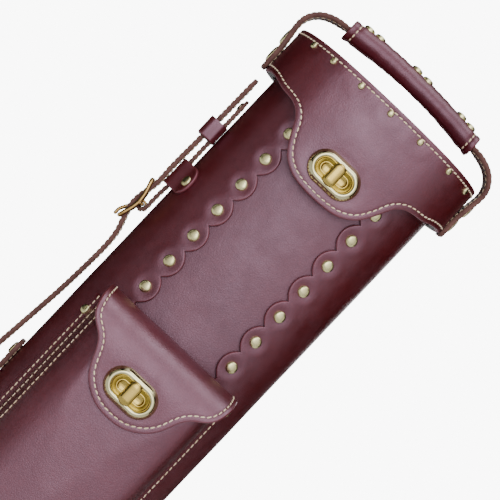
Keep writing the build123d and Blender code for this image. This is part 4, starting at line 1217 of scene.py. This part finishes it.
# ---- Camera, light and floor, in metres ---------------------------------------------------------
def add_camera():
    """The case seen from the front, turned so that it lies across the picture."""
    distance, view_width, sensor_width = 1.2, 0.33, 36.0
    azimuth, roll = math.radians(2.2), math.radians(43.48)
    aim = Vector((-0.0037, 0, 0.727))
    camera = bpy.data.cameras.new("camera")
    camera.lens = sensor_width * distance / view_width
    camera.clip_start, camera.clip_end = 0.05, 20
    obj = bpy.data.objects.new("camera", camera)
    bpy.context.scene.collection.objects.link(obj)
    back = Vector((-math.sin(azimuth), -math.cos(azimuth), 0))
    level = Vector((math.cos(azimuth), -math.sin(azimuth), 0))
    up = Vector((0, 0, 1))
    right = math.sin(roll) * up + math.cos(roll) * level
    top = math.cos(roll) * up - math.sin(roll) * level
    turn = Matrix((right, top, back)).transposed().to_4x4()
    obj.matrix_world = Matrix.Translation(aim + back * distance) @ turn
    bpy.context.scene.camera = obj


def add_floor():
    radius, sides = 2.6, 96
    mesh = bpy.data.meshes.new("floor")
    rim = [(radius * math.cos(t), radius * math.sin(t), 0) for t in circle(sides)]
    mesh.from_pydata(rim, [], [tuple(range(sides))])
    m = material_nodes("pale_floor")
    tone = m.mix(m.remap(m.noise(3.0), 0.3, 0.7), (0.80, 0.82, 0.81), (0.85, 0.87, 0.86))
    mesh.materials.append(m.finish(Base_Color=tone, Roughness=0.8))
    floor = bpy.data.objects.new("floor", mesh)
    bpy.context.scene.collection.objects.link(floor)


def area(name, at, toward_z, size, power, tone=(1, 1, 1)):
    """An area light, (width, height) in size, aimed at the case's axis."""
    light = bpy.data.lights.new(name, "AREA")
    light.energy, light.color, light.shape = power, tone, "RECTANGLE"
    light.size, light.size_y = size
    obj = bpy.data.objects.new(name, light)
    bpy.context.scene.collection.objects.link(obj)
    obj.location = at
    obj.rotation_euler = (Vector((0, 0, toward_z)) - Vector(at)).to_track_quat("-Z", "Y").to_euler()


def add_world():
    """White to the camera. The case is lit by a wide soft glow in front of it and a smaller one above."""
    world = bpy.data.worlds.new("studio")
    bpy.context.scene.world = world
    w = Nodes(world, "Generated")
    x, y, z = w.add("ShaderNodeSeparateXYZ", Vector=w.coords).outputs
    bearing = w.math("ARCTAN2", x, w.times(y, -1.0))
    off_centre = w.math("ABSOLUTE", w.math("SUBTRACT", bearing, math.radians(6)))
    glow = w.remap(off_centre, math.radians(70), 0.0, kind="SMOOTHSTEP")
    glow = w.times(glow, w.remap(z, -0.60, 0.0, kind="SMOOTHSTEP"))
    glow = w.math("MAXIMUM", glow, w.times(w.remap(z, 0.75, 1.0, kind="SMOOTHSTEP"), 0.6))
    strength = w.plus(w.times(glow, 2.3), 0.008)
    lit = w.add("ShaderNodeBackground", Color=(1.0, 0.94, 0.97, 1), Strength=strength)
    seen = w.add("ShaderNodeBackground", Color=(1, 1, 1, 1), Strength=9.0)
    choice = w.add("ShaderNodeMixShader", Fac=w.add("ShaderNodeLightPath").outputs["Is Camera Ray"])
    w.set(choice, 1, lit.outputs[0])
    w.set(choice, 2, seen.outputs[0])
    w.add("ShaderNodeOutputWorld", Surface=choice.outputs[0])


def studio():
    add_camera()
    add_floor()
    area("key", (-0.10, -1.9, 1.35), 0.72, (1.0, 1.3), 9, (1.0, 0.96, 0.98))
    area("right_strip", (1.5, -0.7, 0.9), 0.68, (0.30, 1.6), 1.5, (1.0, 0.92, 0.88))
    area("left_strip", (-1.5, -0.4, 1.1), 0.68, (0.25, 1.4), 1.0, (1.0, 0.94, 0.92))
    area("top_fill", (0.1, -0.3, 2.1), 0.8, (0.8, 0.8), 5)
    area("back_fill", (0.3, 1.7, 1.2), 0.6, (1.3, 1.3), 16)
    add_world()


finish_cad()
front_panel()
back_wrap()
case_rivets()
base()
lid_leather()
lid_top()
hinge()
turn_lock("lid", -(HALF_DEPTH + LID_OUT) - 0.1, LID_LOCK_Z, "tongue", "lid_knob")
turn_lock("pouch", FLAP_Y - 0.1, POUCH_LOCK_Z, "flap", "flap_knob")
pouch_box()
pouch_flap()
top_handle()
rolled_grip()
shoulder_strap()
buckle_chape()
strap_keeper()
anchor("upper", 731.0, CHAPE_X - 1.25)
anchor("lower", 150.0, -72.4)
side_handle()
buckle()
studio()
